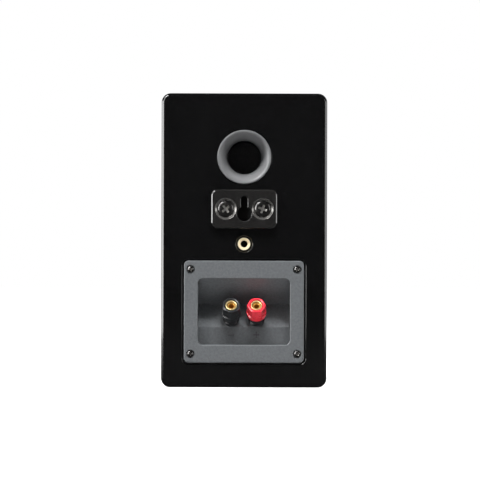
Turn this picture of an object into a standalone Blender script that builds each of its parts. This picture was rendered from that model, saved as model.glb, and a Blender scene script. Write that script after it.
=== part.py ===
"""Two-way bookshelf speaker: a rounded gloss box with a rear port, keyhole bracket and terminal cup.

Metres, +Z up. The front faces -Y and the back faces +Y. The origin is the middle of the whole
object's footprint, on the surface that the cabinet stands on.

Pieces are built about their own reference point and then placed. Turned pieces have their axis
along local Z. Neighbours that touch on the real speaker keep GAP between them.
"""

import math

import bmesh
import bpy
from mathutils import Matrix, Vector

GAP = 0.0003
OVERCUT = 0.001  # how far a cutter runs past the face that it opens

# Cabinet: a wrapped box whose back is part of the wrap, closed by a separate front baffle.
CABINET_WIDTH = 0.125
CABINET_HEIGHT = 0.222
CABINET_DEPTH = 0.144
CORNER_RADIUS = 0.007
REAR_EDGE_RADIUS = 0.0022
SIDE_WALL = 0.012
BACK_WALL = 0.015
CAVITY_CORNER = 0.003
BAFFLE_THICKNESS = 0.018
BAFFLE_CHAMFER = 0.004
BRACE_THICKNESS = 0.010
BRACE_RIM = 0.016
BRACE_ABOVE_WOOFER = 0.006
BRACE_SETBACK = 0.020
WADDING_THICKNESS = 0.010
WADDING_DEPTH = 0.090
WADDING_SETBACK = 0.004

# Grille: a moulded frame with four pegs, and the cloth stretched over it.
GRILLE_DEPTH = 0.012
GRILLE_INSET = 0.0045
GRILLE_CORNER = 0.005
GRILLE_RIM = 0.0055
GRILLE_GUSSET_RADIUS = 0.020
GRILLE_BAR = 0.006
GRILLE_EDGE = 0.0015
CLOTH_THICKNESS = 0.0007
PEG_RADIUS = 0.0033
PEG_LENGTH = 0.008
PEG_INSET = 0.0085
PEG_CLEARANCE = 0.0004
PEG_BEVEL = 0.001

# Keyhole bracket on the back.
BRACKET_BELOW_PORT = 0.0392
BRACKET_WIDTH = 0.0497
BRACKET_HEIGHT = 0.0293
BRACKET_DEPTH = 0.004
BRACKET_CORNER = 0.0045
BRACKET_EDGE = 0.0012
BRACKET_SCREW_SPACING = 0.0278
BRACKET_SINK_RADIUS = 0.0079
BRACKET_SINK_DEPTH = 0.0015
BRACKET_SEAT_STEP = 0.0010
BRACKET_HEAD_RADIUS = 0.0061
BRACKET_HEAD_HEIGHT = 0.0017
BRACKET_SHANK_RADIUS = 0.0021
BRACKET_SHANK_LENGTH = 0.013
SCREW_TIP_ROOM = 0.001
KEYHOLE_RADIUS = 0.0053
KEYHOLE_DROP = 0.0038
KEYHOLE_SLOT = 0.0046
KEYHOLE_REACH = 0.0095
KEYHOLE_CHAMFER = 0.0009
KEYHOLE_POCKET_DEPTH = 0.006

# Threaded insert under the bracket.
INSERT_BELOW_BRACKET = 0.0264
INSERT_RADIUS = 0.00475
INSERT_BORE = 0.0032
INSERT_LENGTH = 0.0115
INSERT_SUNK = 0.0004
INSERT_SINK_RADIUS = 0.0065
INSERT_SINK_DEPTH = 0.0011
INSERT_BEVEL = 0.0006

# Port: a flared mouth in the back wall and the tube plugged into it.
PORT_BELOW_TOP = 0.0481
PORT_LIP_RADIUS = 0.0204
PORT_THROAT_RADIUS = 0.0127
PORT_FLARE_DEPTH = 0.018
PORT_LIP_PROUD = 0.0008
PORT_LIP_SEAT = 0.003
PORT_LIP_ROLL = 0.0006
PORT_LIP_EDGE = 0.0005
PORT_BODY_STEP = 0.0012
PORT_STOP = 0.002
PORT_WALL = 0.0020
PORT_SOCKET_DEPTH = 0.008
PORT_LENGTH = 0.076
PORT_INNER_FLARE = 0.006
PORT_RIM = 0.0012

# Terminal cup: a screwed plate with a deep recess whose lower wall tilts the posts upwards.
CUP_Z = 0.0571
CUP_WIDTH = 0.0906
CUP_HEIGHT = 0.0771
CUP_PLATE = 0.003
CUP_PROUD = 0.0008
CUP_CORNER = 0.0035
CUP_EDGE = 0.0008
CUP_MARGIN = 0.0012
CUP_WALL = 0.0024
RECESS_WIDTH = 0.0695
RECESS_HEIGHT = 0.0501
RECESS_CORNER = 0.004
RECESS_LIP = 0.0015
RECESS_SHELF_DEPTH = 0.0137
RECESS_SHELF_HEIGHT = 0.0135
RECESS_SEAT_HEIGHT = 0.0170
GASKET_THICKNESS = 0.0008
GASKET_INSET = 0.0005
CUP_SCREW_SPACING_X = 0.0805
CUP_SCREW_SPACING_Z = 0.0638
CUP_SCREW_HEAD = 0.0024
CUP_SCREW_HEAD_HEIGHT = 0.0013
CUP_SCREW_SINK = 0.00325
CUP_SCREW_SINK_DEPTH = 0.0018
CUP_SCREW_SHANK = 0.0014
CUP_SCREW_LENGTH = 0.012

# Binding posts, standing square on the tilted seat of the cup.
POST_TILT = math.radians(35)
POST_SPACING = 0.01905
POST_RISE = 0.0053
STUD_RADIUS = 0.0030
STUD_SUNK = 0.0006
STUD_TAIL = 0.0120
STUD_BEVEL = 0.0003
SOCKET_RADIUS = 0.00205
SOCKET_DEPTH = 0.013
WIRE_HOLE_RADIUS = 0.0012
WIRE_HOLE_HEIGHT = 0.0078
COLLAR_RADIUS = 0.0062
COLLAR_WAIST = 0.0052
COLLAR_HEIGHT = 0.0067
COLLAR_RIM = 0.0016
COLLAR_NECK = 0.0024
WASHER_RADIUS = 0.0055
WASHER_THICKNESS = 0.0009
KNOB_FLATS = 0.0129
KNOB_SKIRT_RADIUS = 0.0075
KNOB_SKIRT_HEIGHT = 0.0030
KNOB_LENGTH = 0.0118
KNOB_CHAMFER = 0.0012
KNOB_CROWN = 0.0018
KNOB_EDGE = 0.0005
KNOB_DISH = 0.0008
CORE_RADIUS = 0.0043
CORE_SUNK = 0.0003
CORE_BEVEL = 0.0004
NUT_FLATS = 0.0100
NUT_THICKNESS = 0.0025

# Woofer. Depths run inwards from the baffle's front face.
WOOFER_RADIUS = 0.056
WOOFER_Z = 0.068
WOOFER_FLANGE = 0.0037
WOOFER_DEPTH = 0.034
WOOFER_RIM = 0.0064
WOOFER_LEDGE_DEPTH = 0.0020
WOOFER_LEDGE = 0.0036
BASKET_TAPER = 0.0115
SPIDER_ABOVE_FLOOR = 0.005
BASKET_WALL = 0.0022
BASKET_FLOOR = 0.0020
BASKET_BORE_ROOM = 0.002
BASKET_SHOULDER = 0.002
SPIDER_SEAT = 0.004
BASKET_WINDOWS = 6
WINDOW_SHARE = 0.62
WINDOW_BELOW_FLANGE = 0.004
WINDOW_ABOVE_SPIDER = 0.0015
WOOFER_SCREW_INSET = 0.0031
WOOFER_SCREWS = 4
WOOFER_SCREW_HEAD = 0.0027
WOOFER_SCREW_HEIGHT = 0.0016
WOOFER_SCREW_LENGTH = 0.014
DRIVER_SCREW_SHANK = 0.0014
ROLL_WIDTH = 0.0068
ROLL_HEIGHT = 0.0040
SURROUND_THICKNESS = 0.0007
SURROUND_LIP = 0.0026
SPIDER_SKIN = 0.0005
SPIDER_WAVE = 0.0010
SPIDER_RIPPLES = 1.5
CONE_THICKNESS = 0.0007
CONE_BOW = 0.0016
NECK_ABOVE_SPIDER = 0.0045
DUST_CAP_RADIUS = 0.0165
DUST_CAP_HEIGHT = 0.0048
POLE_RADIUS = 0.0116
COIL_CLEARANCE = 0.0004
COIL_THICKNESS = 0.0009
COIL_LENGTH = 0.021
COIL_ABOVE_NECK = 0.0020
TOP_PLATE_INSET = 0.002
TOP_PLATE_THICKNESS = 0.005
MAGNET_RADIUS = 0.035
MAGNET_THICKNESS = 0.012
MAGNET_BORE_ROOM = 0.003
MOTOR_BEVEL = 0.001
YOKE_THICKNESS = 0.005
POLE_VENT = 0.0035

# Tweeter.
TWEETER_RADIUS = 0.039
DRIVER_SPACING = 0.003
TWEETER_FLANGE = 0.0037
TWEETER_SCREW_INSET = 0.0045
WAVEGUIDE_RADIUS = 0.024
WAVEGUIDE_DEPTH = 0.0045
WAVEGUIDE_LIP = 0.0012
WAVEGUIDE_WALL = 0.0010
THROAT_OVERHANG = 0.0006
FACEPLATE_EDGE = 0.0005
DOME_RADIUS = 0.0127
DOME_HEIGHT = 0.0045
DOME_THICKNESS = 0.0004
DOME_SKIRT = 0.0055
DOME_SUNK = 0.0004
TWEETER_ROLL = 0.0030
TWEETER_ROLL_TUCK = 0.0009
TWEETER_ROLL_LIP = 0.0040
TWEETER_ROLL_SKIN = 0.0005
TWEETER_ROLL_ARCH = 0.9
TWEETER_PLATE_INSET = 0.003
TWEETER_PLATE_THICKNESS = 0.003
TWEETER_MAGNET_RADIUS = 0.030
TWEETER_MAGNET_THICKNESS = 0.008
TWEETER_MAGNET_ROOM = 0.002
TWEETER_HOLE_ROOM = 0.001
TWEETER_SCREWS = 3
TWEETER_SCREW_LENGTH = 0.012
DIFFUSER_RADIUS = 0.0050
DIFFUSER_STAND_OFF = 0.0021
DIFFUSER_ARM = 0.0014
DIFFUSER_FOOT = 0.0030
DIFFUSER_THICKNESS = 0.0012
DIFFUSER_BEVEL = 0.0004
DIFFUSER_ARM_STEP = 0.0002

# Crossover board on stand-offs behind the cup.
BOARD_WIDTH = 0.074
BOARD_HEIGHT = 0.060
BOARD_THICKNESS = 0.0016
BOARD_CORNER = 0.002
INDUCTOR_AT = (-0.020, 0.012)  # on the board, from its middle
INDUCTOR_BORE = 0.006
INDUCTOR_RADIUS = 0.0145
INDUCTOR_HEIGHT = 0.013
CAPACITOR_AT = (0.016, 0.015)
CAPACITOR_RADIUS = 0.0065
CAPACITOR_LENGTH = 0.030
CAPACITOR_BEVEL = 0.001
RESISTOR_AT = (0.016, -0.010)
RESISTOR_LENGTH = 0.024
RESISTOR_SIDE = 0.007
STANDOFF_RADIUS = 0.0030
BOARD_CLEARANCE = 0.003
STANDOFF_INSET = 0.001
LEAD_RADIUS = 0.0014
LEAD_CLEARANCE = 0.002
LEAD_STRAIGHT = 0.006

# Roundness of turned shapes.
STEPS_LARGE = 28
STEPS_MEDIUM = 20
STEPS_SMALL = 14
STEPS_SCREW = 8
CORNER_STEPS = 4
EDGE_STEPS = 2

# Places that follow from the sizes above.
REAR_Y = (CABINET_DEPTH + GRILLE_DEPTH + BRACKET_DEPTH) / 2 - BRACKET_DEPTH
FRONT_Y = REAR_Y - CABINET_DEPTH
CAVITY_WIDTH = CABINET_WIDTH - 2 * SIDE_WALL
CAVITY_TOP = CABINET_HEIGHT - SIDE_WALL
CAVITY_REAR = REAR_Y - BACK_WALL
SHELL_FRONT = FRONT_Y + BAFFLE_THICKNESS + GAP
PORT_Z = CABINET_HEIGHT - PORT_BELOW_TOP
BRACKET_Z = PORT_Z - BRACKET_BELOW_PORT
INSERT_Z = BRACKET_Z - INSERT_BELOW_BRACKET
TWEETER_Z = WOOFER_Z + WOOFER_RADIUS + DRIVER_SPACING + TWEETER_RADIUS
BRACE_Z = WOOFER_Z + WOOFER_RADIUS + BRACE_ABOVE_WOOFER
WOOFER_LEDGE_RADIUS = WOOFER_RADIUS - WOOFER_RIM
WOOFER_OPENING_RADIUS = WOOFER_LEDGE_RADIUS - WOOFER_LEDGE
ROLL_OUTER = WOOFER_OPENING_RADIUS + GAP
ROLL_INNER = ROLL_OUTER - ROLL_WIDTH
SPIDER_RADIUS = WOOFER_OPENING_RADIUS - BASKET_TAPER
SPIDER_DEPTH = WOOFER_DEPTH - SPIDER_ABOVE_FLOOR
CONE_NECK_DEPTH = SPIDER_DEPTH - NECK_ABOVE_SPIDER
COIL_INNER = POLE_RADIUS + COIL_CLEARANCE
COIL_OUTER = COIL_INNER + COIL_THICKNESS
MAGNET_GAP_RADIUS = COIL_OUTER + COIL_CLEARANCE
TOP_PLATE_RADIUS = MAGNET_RADIUS - TOP_PLATE_INSET
TWEETER_POLE = DOME_RADIUS - DOME_THICKNESS - COIL_CLEARANCE
TWEETER_PLATE_RADIUS = TWEETER_MAGNET_RADIUS - TWEETER_PLATE_INSET
RECESS_DEPTH = RECESS_SHELF_DEPTH + RECESS_SEAT_HEIGHT * math.tan(POST_TILT)
WOOFER_AT = Vector((0, FRONT_Y, WOOFER_Z))
TWEETER_AT = Vector((0, FRONT_Y, TWEETER_Z))
PORT_AT = Vector((0, REAR_Y, PORT_Z))
BRACKET_AT = Vector((0, REAR_Y, BRACKET_Z))
INSERT_AT = Vector((0, REAR_Y, INSERT_Z))
CUP_AT = Vector((0, REAR_Y + CUP_PROUD, CUP_Z))
TO_REAR = (math.radians(-90), 0, 0)  # turns local Z to +Y
TO_FRONT = (math.radians(90), 0, 0)  # turns local Z to -Y


# Materials

def material(name, colour, roughness, metallic=0.0):
    """A Principled material of one colour."""
    made = bpy.data.materials.get(name) or bpy.data.materials.new(name)
    made.use_nodes = True
    shader = made.node_tree.nodes["Principled BSDF"]
    shader.inputs["Base Color"].default_value = (*colour, 1)
    shader.inputs["Roughness"].default_value = roughness
    shader.inputs["Metallic"].default_value = metallic
    return made


def make_materials():
    """The speaker's finishes, by name."""
    return {
        "gloss_black": material("gloss_black", (0.008, 0.008, 0.009), 0.06),
        "black_metal": material("black_metal", (0.015, 0.015, 0.014), 0.25, 0.6),
        "cup_plastic": material("cup_plastic", (0.10, 0.105, 0.11), 0.55),
        "black_plastic": material("black_plastic", (0.020, 0.020, 0.022), 0.35),
        "red_plastic": material("red_plastic", (0.75, 0.02, 0.05), 0.30),
        "port_plastic": material("port_plastic", (0.06, 0.06, 0.065), 0.50),
        "gold": material("gold", (0.90, 0.68, 0.30), 0.20, 1.0),
        "brass": material("brass", (0.85, 0.70, 0.42), 0.25, 1.0),
        "steel": material("steel", (0.55, 0.55, 0.56), 0.30, 1.0),
        "ferrite": material("ferrite", (0.05, 0.05, 0.052), 0.60),
        "rubber": material("rubber", (0.018, 0.018, 0.019), 0.60),
        "cone": material("cone", (0.035, 0.035, 0.038), 0.40),
        "dome": material("dome", (0.75, 0.76, 0.78), 0.22, 1.0),
        "spider": material("spider", (0.55, 0.42, 0.20), 0.90),
        "copper": material("copper", (0.80, 0.38, 0.20), 0.30, 1.0),
        "board": material("board", (0.03, 0.16, 0.07), 0.45),
        "film": material("film", (0.65, 0.50, 0.08), 0.35),
        "ceramic": material("ceramic", (0.75, 0.74, 0.70), 0.70),
        "fibreboard": material("fibreboard", (0.42, 0.30, 0.18), 0.85),
        "wadding": material("wadding", (0.80, 0.80, 0.78), 0.95),
        "foam": material("foam", (0.03, 0.03, 0.03), 0.95),
        "cloth": material("cloth", (0.012, 0.012, 0.013), 0.95),
    }


# Shape makers

def solid(name, mesh_edit, finish, at=(0, 0, 0), turn=(0, 0, 0), parent=None):
    """Finishes a bmesh as one object with outward faces, placed at a point with a turn."""
    bmesh.ops.remove_doubles(mesh_edit, verts=mesh_edit.verts, dist=1e-6)
    bmesh.ops.recalc_face_normals(mesh_edit, faces=mesh_edit.faces)
    mesh = bpy.data.meshes.new(name)
    mesh_edit.to_mesh(mesh)
    mesh_edit.free()
    if finish:
        mesh.materials.append(FINISHES[finish])
    mesh.shade_smooth()
    mesh.set_sharp_from_angle(angle=math.radians(35))
    return placed(name, mesh, at, turn, parent)


def placed(name, mesh, at=(0, 0, 0), turn=(0, 0, 0), parent=None):
    """One object of a mesh, placed at a point with a turn."""
    made = bpy.data.objects.new(name, mesh)
    bpy.context.scene.collection.objects.link(made)
    made.location = at
    made.rotation_euler = turn
    made.parent = parent
    return made


def turned(name, profile, finish, at=(0, 0, 0), turn=TO_REAR, steps=STEPS_LARGE, parent=None):
    """A closed outline of (radius, height) points spun about local Z."""
    edit = bmesh.new()
    points = [edit.verts.new((radius, 0, height)) for radius, height in profile]
    sides = list(zip(points, points[1:] + points[:1]))
    edges = [edit.edges.new(pair) for pair in sides if not on_axis(pair)]
    bmesh.ops.spin(
        edit, geom=points + edges, cent=(0, 0, 0), axis=(0, 0, 1),
        angle=math.tau, steps=steps, use_merge=True,
    )
    return solid(name, edit, finish, at, turn, parent)


def ring(inner, outer, low, high):
    """The square outline of a flat ring."""
    return [(inner, low), (outer, low), (outer, high), (inner, high)]


def on_axis(pair):
    """True for an edge that lies on the spin axis, which would sweep no surface."""
    return all(abs(point.co.x) < 1e-9 for point in pair)


def rounded(width, height, radius, steps=CORNER_STEPS):
    """Points of a rounded rectangle about the origin, anticlockwise."""
    corners = ((1, 1), (-1, 1), (-1, -1), (1, -1))
    points = []
    for quarter, (side, up) in enumerate(corners):
        for step in range(steps + 1):
            angle = math.pi / 2 * (quarter + step / steps)
            points.append((
                side * (width / 2 - radius) + radius * math.cos(angle),
                up * (height / 2 - radius) + radius * math.sin(angle),
            ))
    return points


def stacked(name, sections, finish, at=(0, 0, 0), parent=None):
    """A closed solid through outlines that stand one behind another along Y: (outline, y) pairs."""
    edit = bmesh.new()
    loops = [[edit.verts.new((x, y, z)) for x, z in outline] for outline, y in sections]
    for near, far in zip(loops, loops[1:]):
        count = len(near)
        for k in range(count):
            edit.faces.new((near[k], near[(k + 1) % count], far[(k + 1) % count], far[k]))
    edit.faces.new(loops[0])
    edit.faces.new(reversed(loops[-1]))
    return solid(name, edit, finish, at, (0, 0, 0), parent)


def box_sections(width, height, corner, y_from, y_to):
    """The two sections of a plain rounded-rectangle bar along Y."""
    return [(rounded(width, height, corner), y) for y in (y_from, y_to)]


def edge_sections(width, height, corner, edge, face_y, inwards):
    """Sections of an edge rounded by a radius, ending at the face. inwards is -1 or 1 along Y."""
    found = []
    for step in range(EDGE_STEPS + 1):
        angle = math.pi / 2 * step / EDGE_STEPS
        shrink = edge * (1 - math.cos(angle))
        outline = rounded(width - 2 * shrink, height - 2 * shrink, corner - shrink)
        found.append((outline, face_y + inwards * edge * (1 - math.sin(angle))))
    return found


def extruded_across(name, profile, width, finish, at=(0, 0, 0)):
    """A prism across X whose outline is (y, z) points."""
    edit = bmesh.new()
    side = [edit.verts.new((-width / 2, y, z)) for y, z in profile]
    face = edit.faces.new(side)
    moved = bmesh.ops.extrude_face_region(edit, geom=[face])["geom"]
    verts = [part for part in moved if isinstance(part, bmesh.types.BMVert)]
    bmesh.ops.translate(edit, verts=verts, vec=(width, 0, 0))
    return solid(name, edit, finish, at)


def prism(name, flats, height_from, height_to, finish, parent=None, at=(0, 0, 0), turn=(0, 0, 0)):
    """A hexagonal bar about local Z, measured across its flats, with a flat facing -Y."""
    edit = bmesh.new()
    radius = flats / 2 / math.cos(math.pi / 6)
    corners = [math.pi / 3 * k for k in range(6)]
    loops = [
        [edit.verts.new((radius * math.cos(a), radius * math.sin(a), z)) for a in corners]
        for z in (height_from, height_to)
    ]
    edit.faces.new(loops[0])
    edit.faces.new(loops[1])
    for k in range(6):
        edit.faces.new((loops[0][k], loops[0][k - 1], loops[1][k - 1], loops[1][k]))
    return solid(name, edit, finish, at, turn, parent)


def helper(made):
    """Marks an object as a cutting or joining tool, which isn't part of the speaker."""
    made.hide_render = True
    made.display_type = "WIRE"
    return made


def combine(target, tools, operation="DIFFERENCE"):
    """Cuts or joins helper shapes with an object, by one Boolean modifier each."""
    for tool in tools:
        change = target.modifiers.new(tool.name, "BOOLEAN")
        change.operation = operation
        change.object = helper(tool)
        change.solver = "EXACT"
    return target


def drill(name, steps_of_radius, at, turn=TO_REAR, steps=STEPS_SMALL, parent=None):
    """A cutter for a stepped round hole: (radius, height) points from its far end to its mouth."""
    first, last = steps_of_radius[0][1], steps_of_radius[-1][1]
    profile = [(0, first), *steps_of_radius, (0, last)]
    return turned(name, profile, None, at, turn, steps, parent)


def applied_mesh(made, name):
    """The finished mesh of an object with modifiers. The object becomes a helper."""
    bpy.context.view_layer.update()
    graph = bpy.context.evaluated_depsgraph_get()
    mesh = bpy.data.meshes.new_from_object(made.evaluated_get(graph))
    mesh.name = name
    helper(made)
    return mesh


def around(count, radius, first_angle):
    """Places spaced evenly on a circle, as (x, z) pairs."""
    angles = [first_angle + math.tau * k / count for k in range(count)]
    return [(radius * math.cos(a), radius * math.sin(a)) for a in angles]


# Screws

def cross_recess(name, reach, width, depth, top):
    """A tapered cross, to cut a driver recess in a screw head."""
    edit = bmesh.new()
    signs = ((1, 1), (-1, 1), (-1, -1), (1, -1))
    loops = []
    for z, arm, half in ((top, reach, width / 2), (top - depth, reach / 2, width / 3)):
        loop = []
        for quarter, (side, up) in enumerate(signs):
            tips = [(side * arm, up * half), (side * half, up * half), (side * half, up * arm)]
            loop += tips if quarter % 2 == 0 else tips[::-1]
        loops.append([edit.verts.new((x, y, z)) for x, y in loop])
    count = len(loops[0])
    for k in range(count):
        near, far = loops
        edit.faces.new((near[k], near[(k + 1) % count], far[(k + 1) % count], far[k]))
    for loop in loops:
        edit.faces.new(loop)
    return solid(name, edit, None)


def screw_mesh(name, head, height, shank, length, finish):
    """A domed screw with a cross recess. Local Z points out of the head, whose seat is at 0."""
    profile = [
        (0, height), (head * 0.6, height * 0.9), (head, height * 0.45), (head, 0), (shank, 0),
        (shank, shank * 0.4 - length), (0, -length),
    ]
    body = turned(name, profile, finish, turn=(0, 0, 0), steps=STEPS_SCREW)
    recess_depth = height * 0.75
    mouth = height * 1.2
    cross = cross_recess(name + "_recess", head * 0.55, head * 0.28, mouth - height + recess_depth, mouth)
    combine(body, [cross])
    return applied_mesh(body, name)


# Cabinet

def bracket_screw_places():
    """Where the bracket's two screws stand, left and right as seen from the front."""
    half = BRACKET_SCREW_SPACING / 2
    return {"left": BRACKET_AT + Vector((-half, 0, 0)), "right": BRACKET_AT + Vector((half, 0, 0))}


def cup_screw_places():
    """Where the cup's four screws stand, named by corner as seen from the front."""
    x, z = CUP_SCREW_SPACING_X / 2, CUP_SCREW_SPACING_Z / 2
    corners = {"top_left": (-x, z), "top_right": (x, z), "base_left": (-x, -z), "base_right": (x, -z)}
    return {name: CUP_AT + Vector((sx, 0, sz)) for name, (sx, sz) in corners.items()}


def peg_places():
    """Where the grille's pegs enter the baffle."""
    x = CABINET_WIDTH / 2 - GRILLE_INSET - PEG_INSET
    low = GRILLE_INSET + PEG_INSET
    high = CABINET_HEIGHT - low
    return [Vector((side * x, FRONT_Y, z)) for side in (-1, 1) for z in (low, high)]


def make_shell():
    """The wrapped box: two sides, top, base and back in one, open at the front."""
    middle = CABINET_HEIGHT / 2
    size = (CABINET_WIDTH, CABINET_HEIGHT, CORNER_RADIUS)
    sections = [(rounded(*size), SHELL_FRONT)]
    sections += edge_sections(*size, REAR_EDGE_RADIUS, REAR_Y, -1)
    shell = stacked("cabinet_shell", sections, "gloss_black", (0, 0, middle))
    cavity = stacked(
        "cavity",
        box_sections(CAVITY_WIDTH, CABINET_HEIGHT - 2 * SIDE_WALL, CAVITY_CORNER, FRONT_Y, CAVITY_REAR),
        None, (0, 0, middle),
    )
    return combine(shell, [cavity, *port_cutters(), *cup_cutters(), *bracket_cutters(), insert_cutter()])


def port_cutters():
    """The stepped hole for the port's mouth."""
    seat = PORT_LIP_RADIUS + GAP
    body = port_body_radius() + GAP
    land = -PORT_LIP_SEAT - GAP
    hole = [(body, -BACK_WALL - OVERCUT), (body, land), (seat, land), (seat, OVERCUT)]
    return [drill("port_hole", hole, PORT_AT, steps=STEPS_LARGE)]


def cup_cutters():
    """The rebate, the window and the pilot holes for the terminal cup."""
    rebate_floor = CUP_PROUD - CUP_PLATE - GASKET_THICKNESS - 2 * GAP
    across, up = CUP_WIDTH + 2 * CUP_MARGIN, CUP_HEIGHT + 2 * CUP_MARGIN
    at = (0, REAR_Y, CUP_Z)
    corner = CUP_CORNER + CUP_MARGIN
    rebate = stacked("cup_rebate", box_sections(across, up, corner, rebate_floor, OVERCUT), None, at)
    window = stacked("cup_window", around_recess(-BACK_WALL - OVERCUT, OVERCUT), None, at)
    shank = CUP_SCREW_SHANK + GAP
    pilot = [(shank, -CUP_SCREW_LENGTH - SCREW_TIP_ROOM), (shank, 0)]
    places = cup_screw_places().items()
    holes = [drill(f"cup_pilot_{name}", pilot, place, steps=STEPS_SCREW) for name, place in places]
    return [rebate, window, *holes]


def around_recess(y_from, y_to):
    """Sections of the opening that clears the cup's body."""
    room = CUP_WALL + GAP
    return box_sections(RECESS_WIDTH + 2 * room, RECESS_HEIGHT + 2 * room, RECESS_CORNER + room, y_from, y_to)


def bracket_cutters():
    """The bracket's pilot holes and the pocket behind its keyhole, for a wall screw's head."""
    length = BRACKET_SHANK_LENGTH
    shank = BRACKET_SHANK_RADIUS + GAP
    pilot = [(shank, -length), (shank, OVERCUT)]
    places = bracket_screw_places().items()
    holes = [drill(f"bracket_pilot_{name}", pilot, at, steps=STEPS_SCREW) for name, at in places]
    low = -KEYHOLE_DROP - KEYHOLE_RADIUS
    high = KEYHOLE_REACH
    size = (2 * KEYHOLE_RADIUS, high - low, KEYHOLE_RADIUS - GAP)
    pocket = stacked(
        "keyhole_pocket", box_sections(*size, -KEYHOLE_POCKET_DEPTH, OVERCUT),
        None, BRACKET_AT + Vector((0, 0, (high + low) / 2)),
    )
    return [*holes, pocket]


def insert_cutter():
    """The countersunk hole for the threaded insert."""
    bore = INSERT_RADIUS + GAP
    depth = INSERT_LENGTH + INSERT_SUNK + GAP
    mouth = INSERT_SINK_RADIUS + OVERCUT
    hole = [(bore, -depth), (bore, -INSERT_SINK_DEPTH), (INSERT_SINK_RADIUS, 0), (mouth, OVERCUT)]
    return drill("insert_hole", hole, INSERT_AT, steps=STEPS_MEDIUM)


def make_baffle():
    """The thick front panel, chamfered all round, with flush seats for both drivers."""
    size = (CABINET_WIDTH, CABINET_HEIGHT, CORNER_RADIUS)
    shrink = 2 * BAFFLE_CHAMFER
    face = rounded(CABINET_WIDTH - shrink, CABINET_HEIGHT - shrink, CORNER_RADIUS - BAFFLE_CHAMFER / 2)
    sections = [
        (face, FRONT_Y),
        (rounded(*size), FRONT_Y + BAFFLE_CHAMFER),
        (rounded(*size), FRONT_Y + BAFFLE_THICKNESS),
    ]
    baffle = stacked("front_baffle", sections, "gloss_black", (0, 0, CABINET_HEIGHT / 2))
    woofer_hole = driver_hole("woofer_hole", WOOFER_RADIUS, WOOFER_FLANGE, WOOFER_LEDGE_RADIUS, WOOFER_AT)
    through = TWEETER_MAGNET_RADIUS + TWEETER_HOLE_ROOM
    tweeter_hole = driver_hole("tweeter_hole", TWEETER_RADIUS, TWEETER_FLANGE, through, TWEETER_AT)
    pilot = DRIVER_SCREW_SHANK + GAP
    pilots = [(pilot, 0), (pilot, BAFFLE_THICKNESS + OVERCUT)]
    screws = [
        drill(f"driver_pilot_{k}", pilots, at, steps=STEPS_SCREW)
        for k, at in enumerate([*woofer_screw_places(), *tweeter_screw_places()])
    ]
    socket = PEG_RADIUS + PEG_CLEARANCE
    depths = [(socket, -OVERCUT), (socket, PEG_LENGTH + SCREW_TIP_ROOM)]
    sockets = [
        drill(f"peg_socket_{k}", depths, at, steps=STEPS_SCREW)
        for k, at in enumerate(peg_places())
    ]
    return combine(baffle, [woofer_hole, tweeter_hole, *screws, *sockets])


def driver_hole(name, radius, flange, through, at):
    """A flush seat for a driver's flange, and the hole behind it."""
    seat = flange + GAP
    rim = radius + GAP
    outline = [(rim, -OVERCUT), (rim, seat), (through, seat), (through, BAFFLE_THICKNESS + OVERCUT)]
    return drill(name, outline, at, steps=STEPS_LARGE)


def make_brace():
    """A shelf with a window, glued across the cavity between the woofer and the port."""
    low = BRACE_Z
    depth = CAVITY_REAR - SHELL_FRONT - BRACE_SETBACK
    brace_y = CAVITY_REAR - GAP - depth / 2
    width = CAVITY_WIDTH - 2 * GAP
    brace = extruded_across(
        "shelf_brace",
        [(-depth / 2, 0), (depth / 2, 0), (depth / 2, BRACE_THICKNESS), (-depth / 2, BRACE_THICKNESS)],
        width, "fibreboard", (0, brace_y, low),
    )
    opening = depth / 2 - BRACE_RIM
    cut = [(opening, -OVERCUT), (opening, BRACE_THICKNESS + OVERCUT)]
    window = drill("brace_window", cut, (0, brace_y, low), (0, 0, 0), STEPS_MEDIUM)
    return combine(brace, [window])


def make_wadding():
    """Wadding that lines the top and both sides of the cavity above the brace."""
    low = BRACE_Z + BRACE_THICKNESS + GAP
    high = CAVITY_TOP - GAP
    height = high - low
    outer = CAVITY_WIDTH / 2 - GAP
    inner = outer - WADDING_THICKNESS
    outline = [
        (-outer, 0), (-inner, 0), (-inner, height - WADDING_THICKNESS),
        (inner, height - WADDING_THICKNESS), (inner, 0), (outer, 0), (outer, height - CAVITY_CORNER),
        (outer - CAVITY_CORNER, height), (CAVITY_CORNER - outer, height), (-outer, height - CAVITY_CORNER),
    ]
    rear = CAVITY_REAR - WADDING_SETBACK
    return stacked("wadding", [(outline, rear - WADDING_DEPTH), (outline, rear)], "wadding", (0, 0, low))


# Port

def port_body_radius():
    """Outer radius of the port's mouth where it passes through the back wall."""
    return PORT_LIP_RADIUS - PORT_BODY_STEP


def port_seat():
    """Height at which the tube meets the mouth's stop, from the cabinet's back."""
    return PORT_LIP_PROUD - PORT_FLARE_DEPTH - PORT_STOP


def make_port_flare():
    """The flared mouth: an elliptical bell from its lip to the throat, with a socket for the tube."""
    flare = PORT_LIP_RADIUS - PORT_LIP_ROLL - PORT_THROAT_RADIUS
    bell = []
    for k in range(8):
        angle = math.pi / 2 * k / 7
        radius = PORT_THROAT_RADIUS + flare * (1 - math.cos(angle))
        height = PORT_LIP_PROUD - PORT_FLARE_DEPTH + PORT_FLARE_DEPTH * math.sin(angle)
        bell.append((radius, height))
    seat = port_seat()
    end = seat - PORT_SOCKET_DEPTH
    socket = PORT_THROAT_RADIUS + PORT_WALL + GAP
    body = port_body_radius()
    neck = socket + PORT_WALL
    profile = [
        (socket, end), (socket, seat), (PORT_THROAT_RADIUS, seat), *bell,
        (PORT_LIP_RADIUS, PORT_LIP_PROUD - PORT_LIP_EDGE), (PORT_LIP_RADIUS, -PORT_LIP_SEAT),
        (body, -PORT_LIP_SEAT), (body, -2 * PORT_LIP_SEAT), (neck, -4 * PORT_LIP_SEAT), (neck, end),
    ]
    return turned("port_flare", profile, "port_plastic", PORT_AT)


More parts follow.
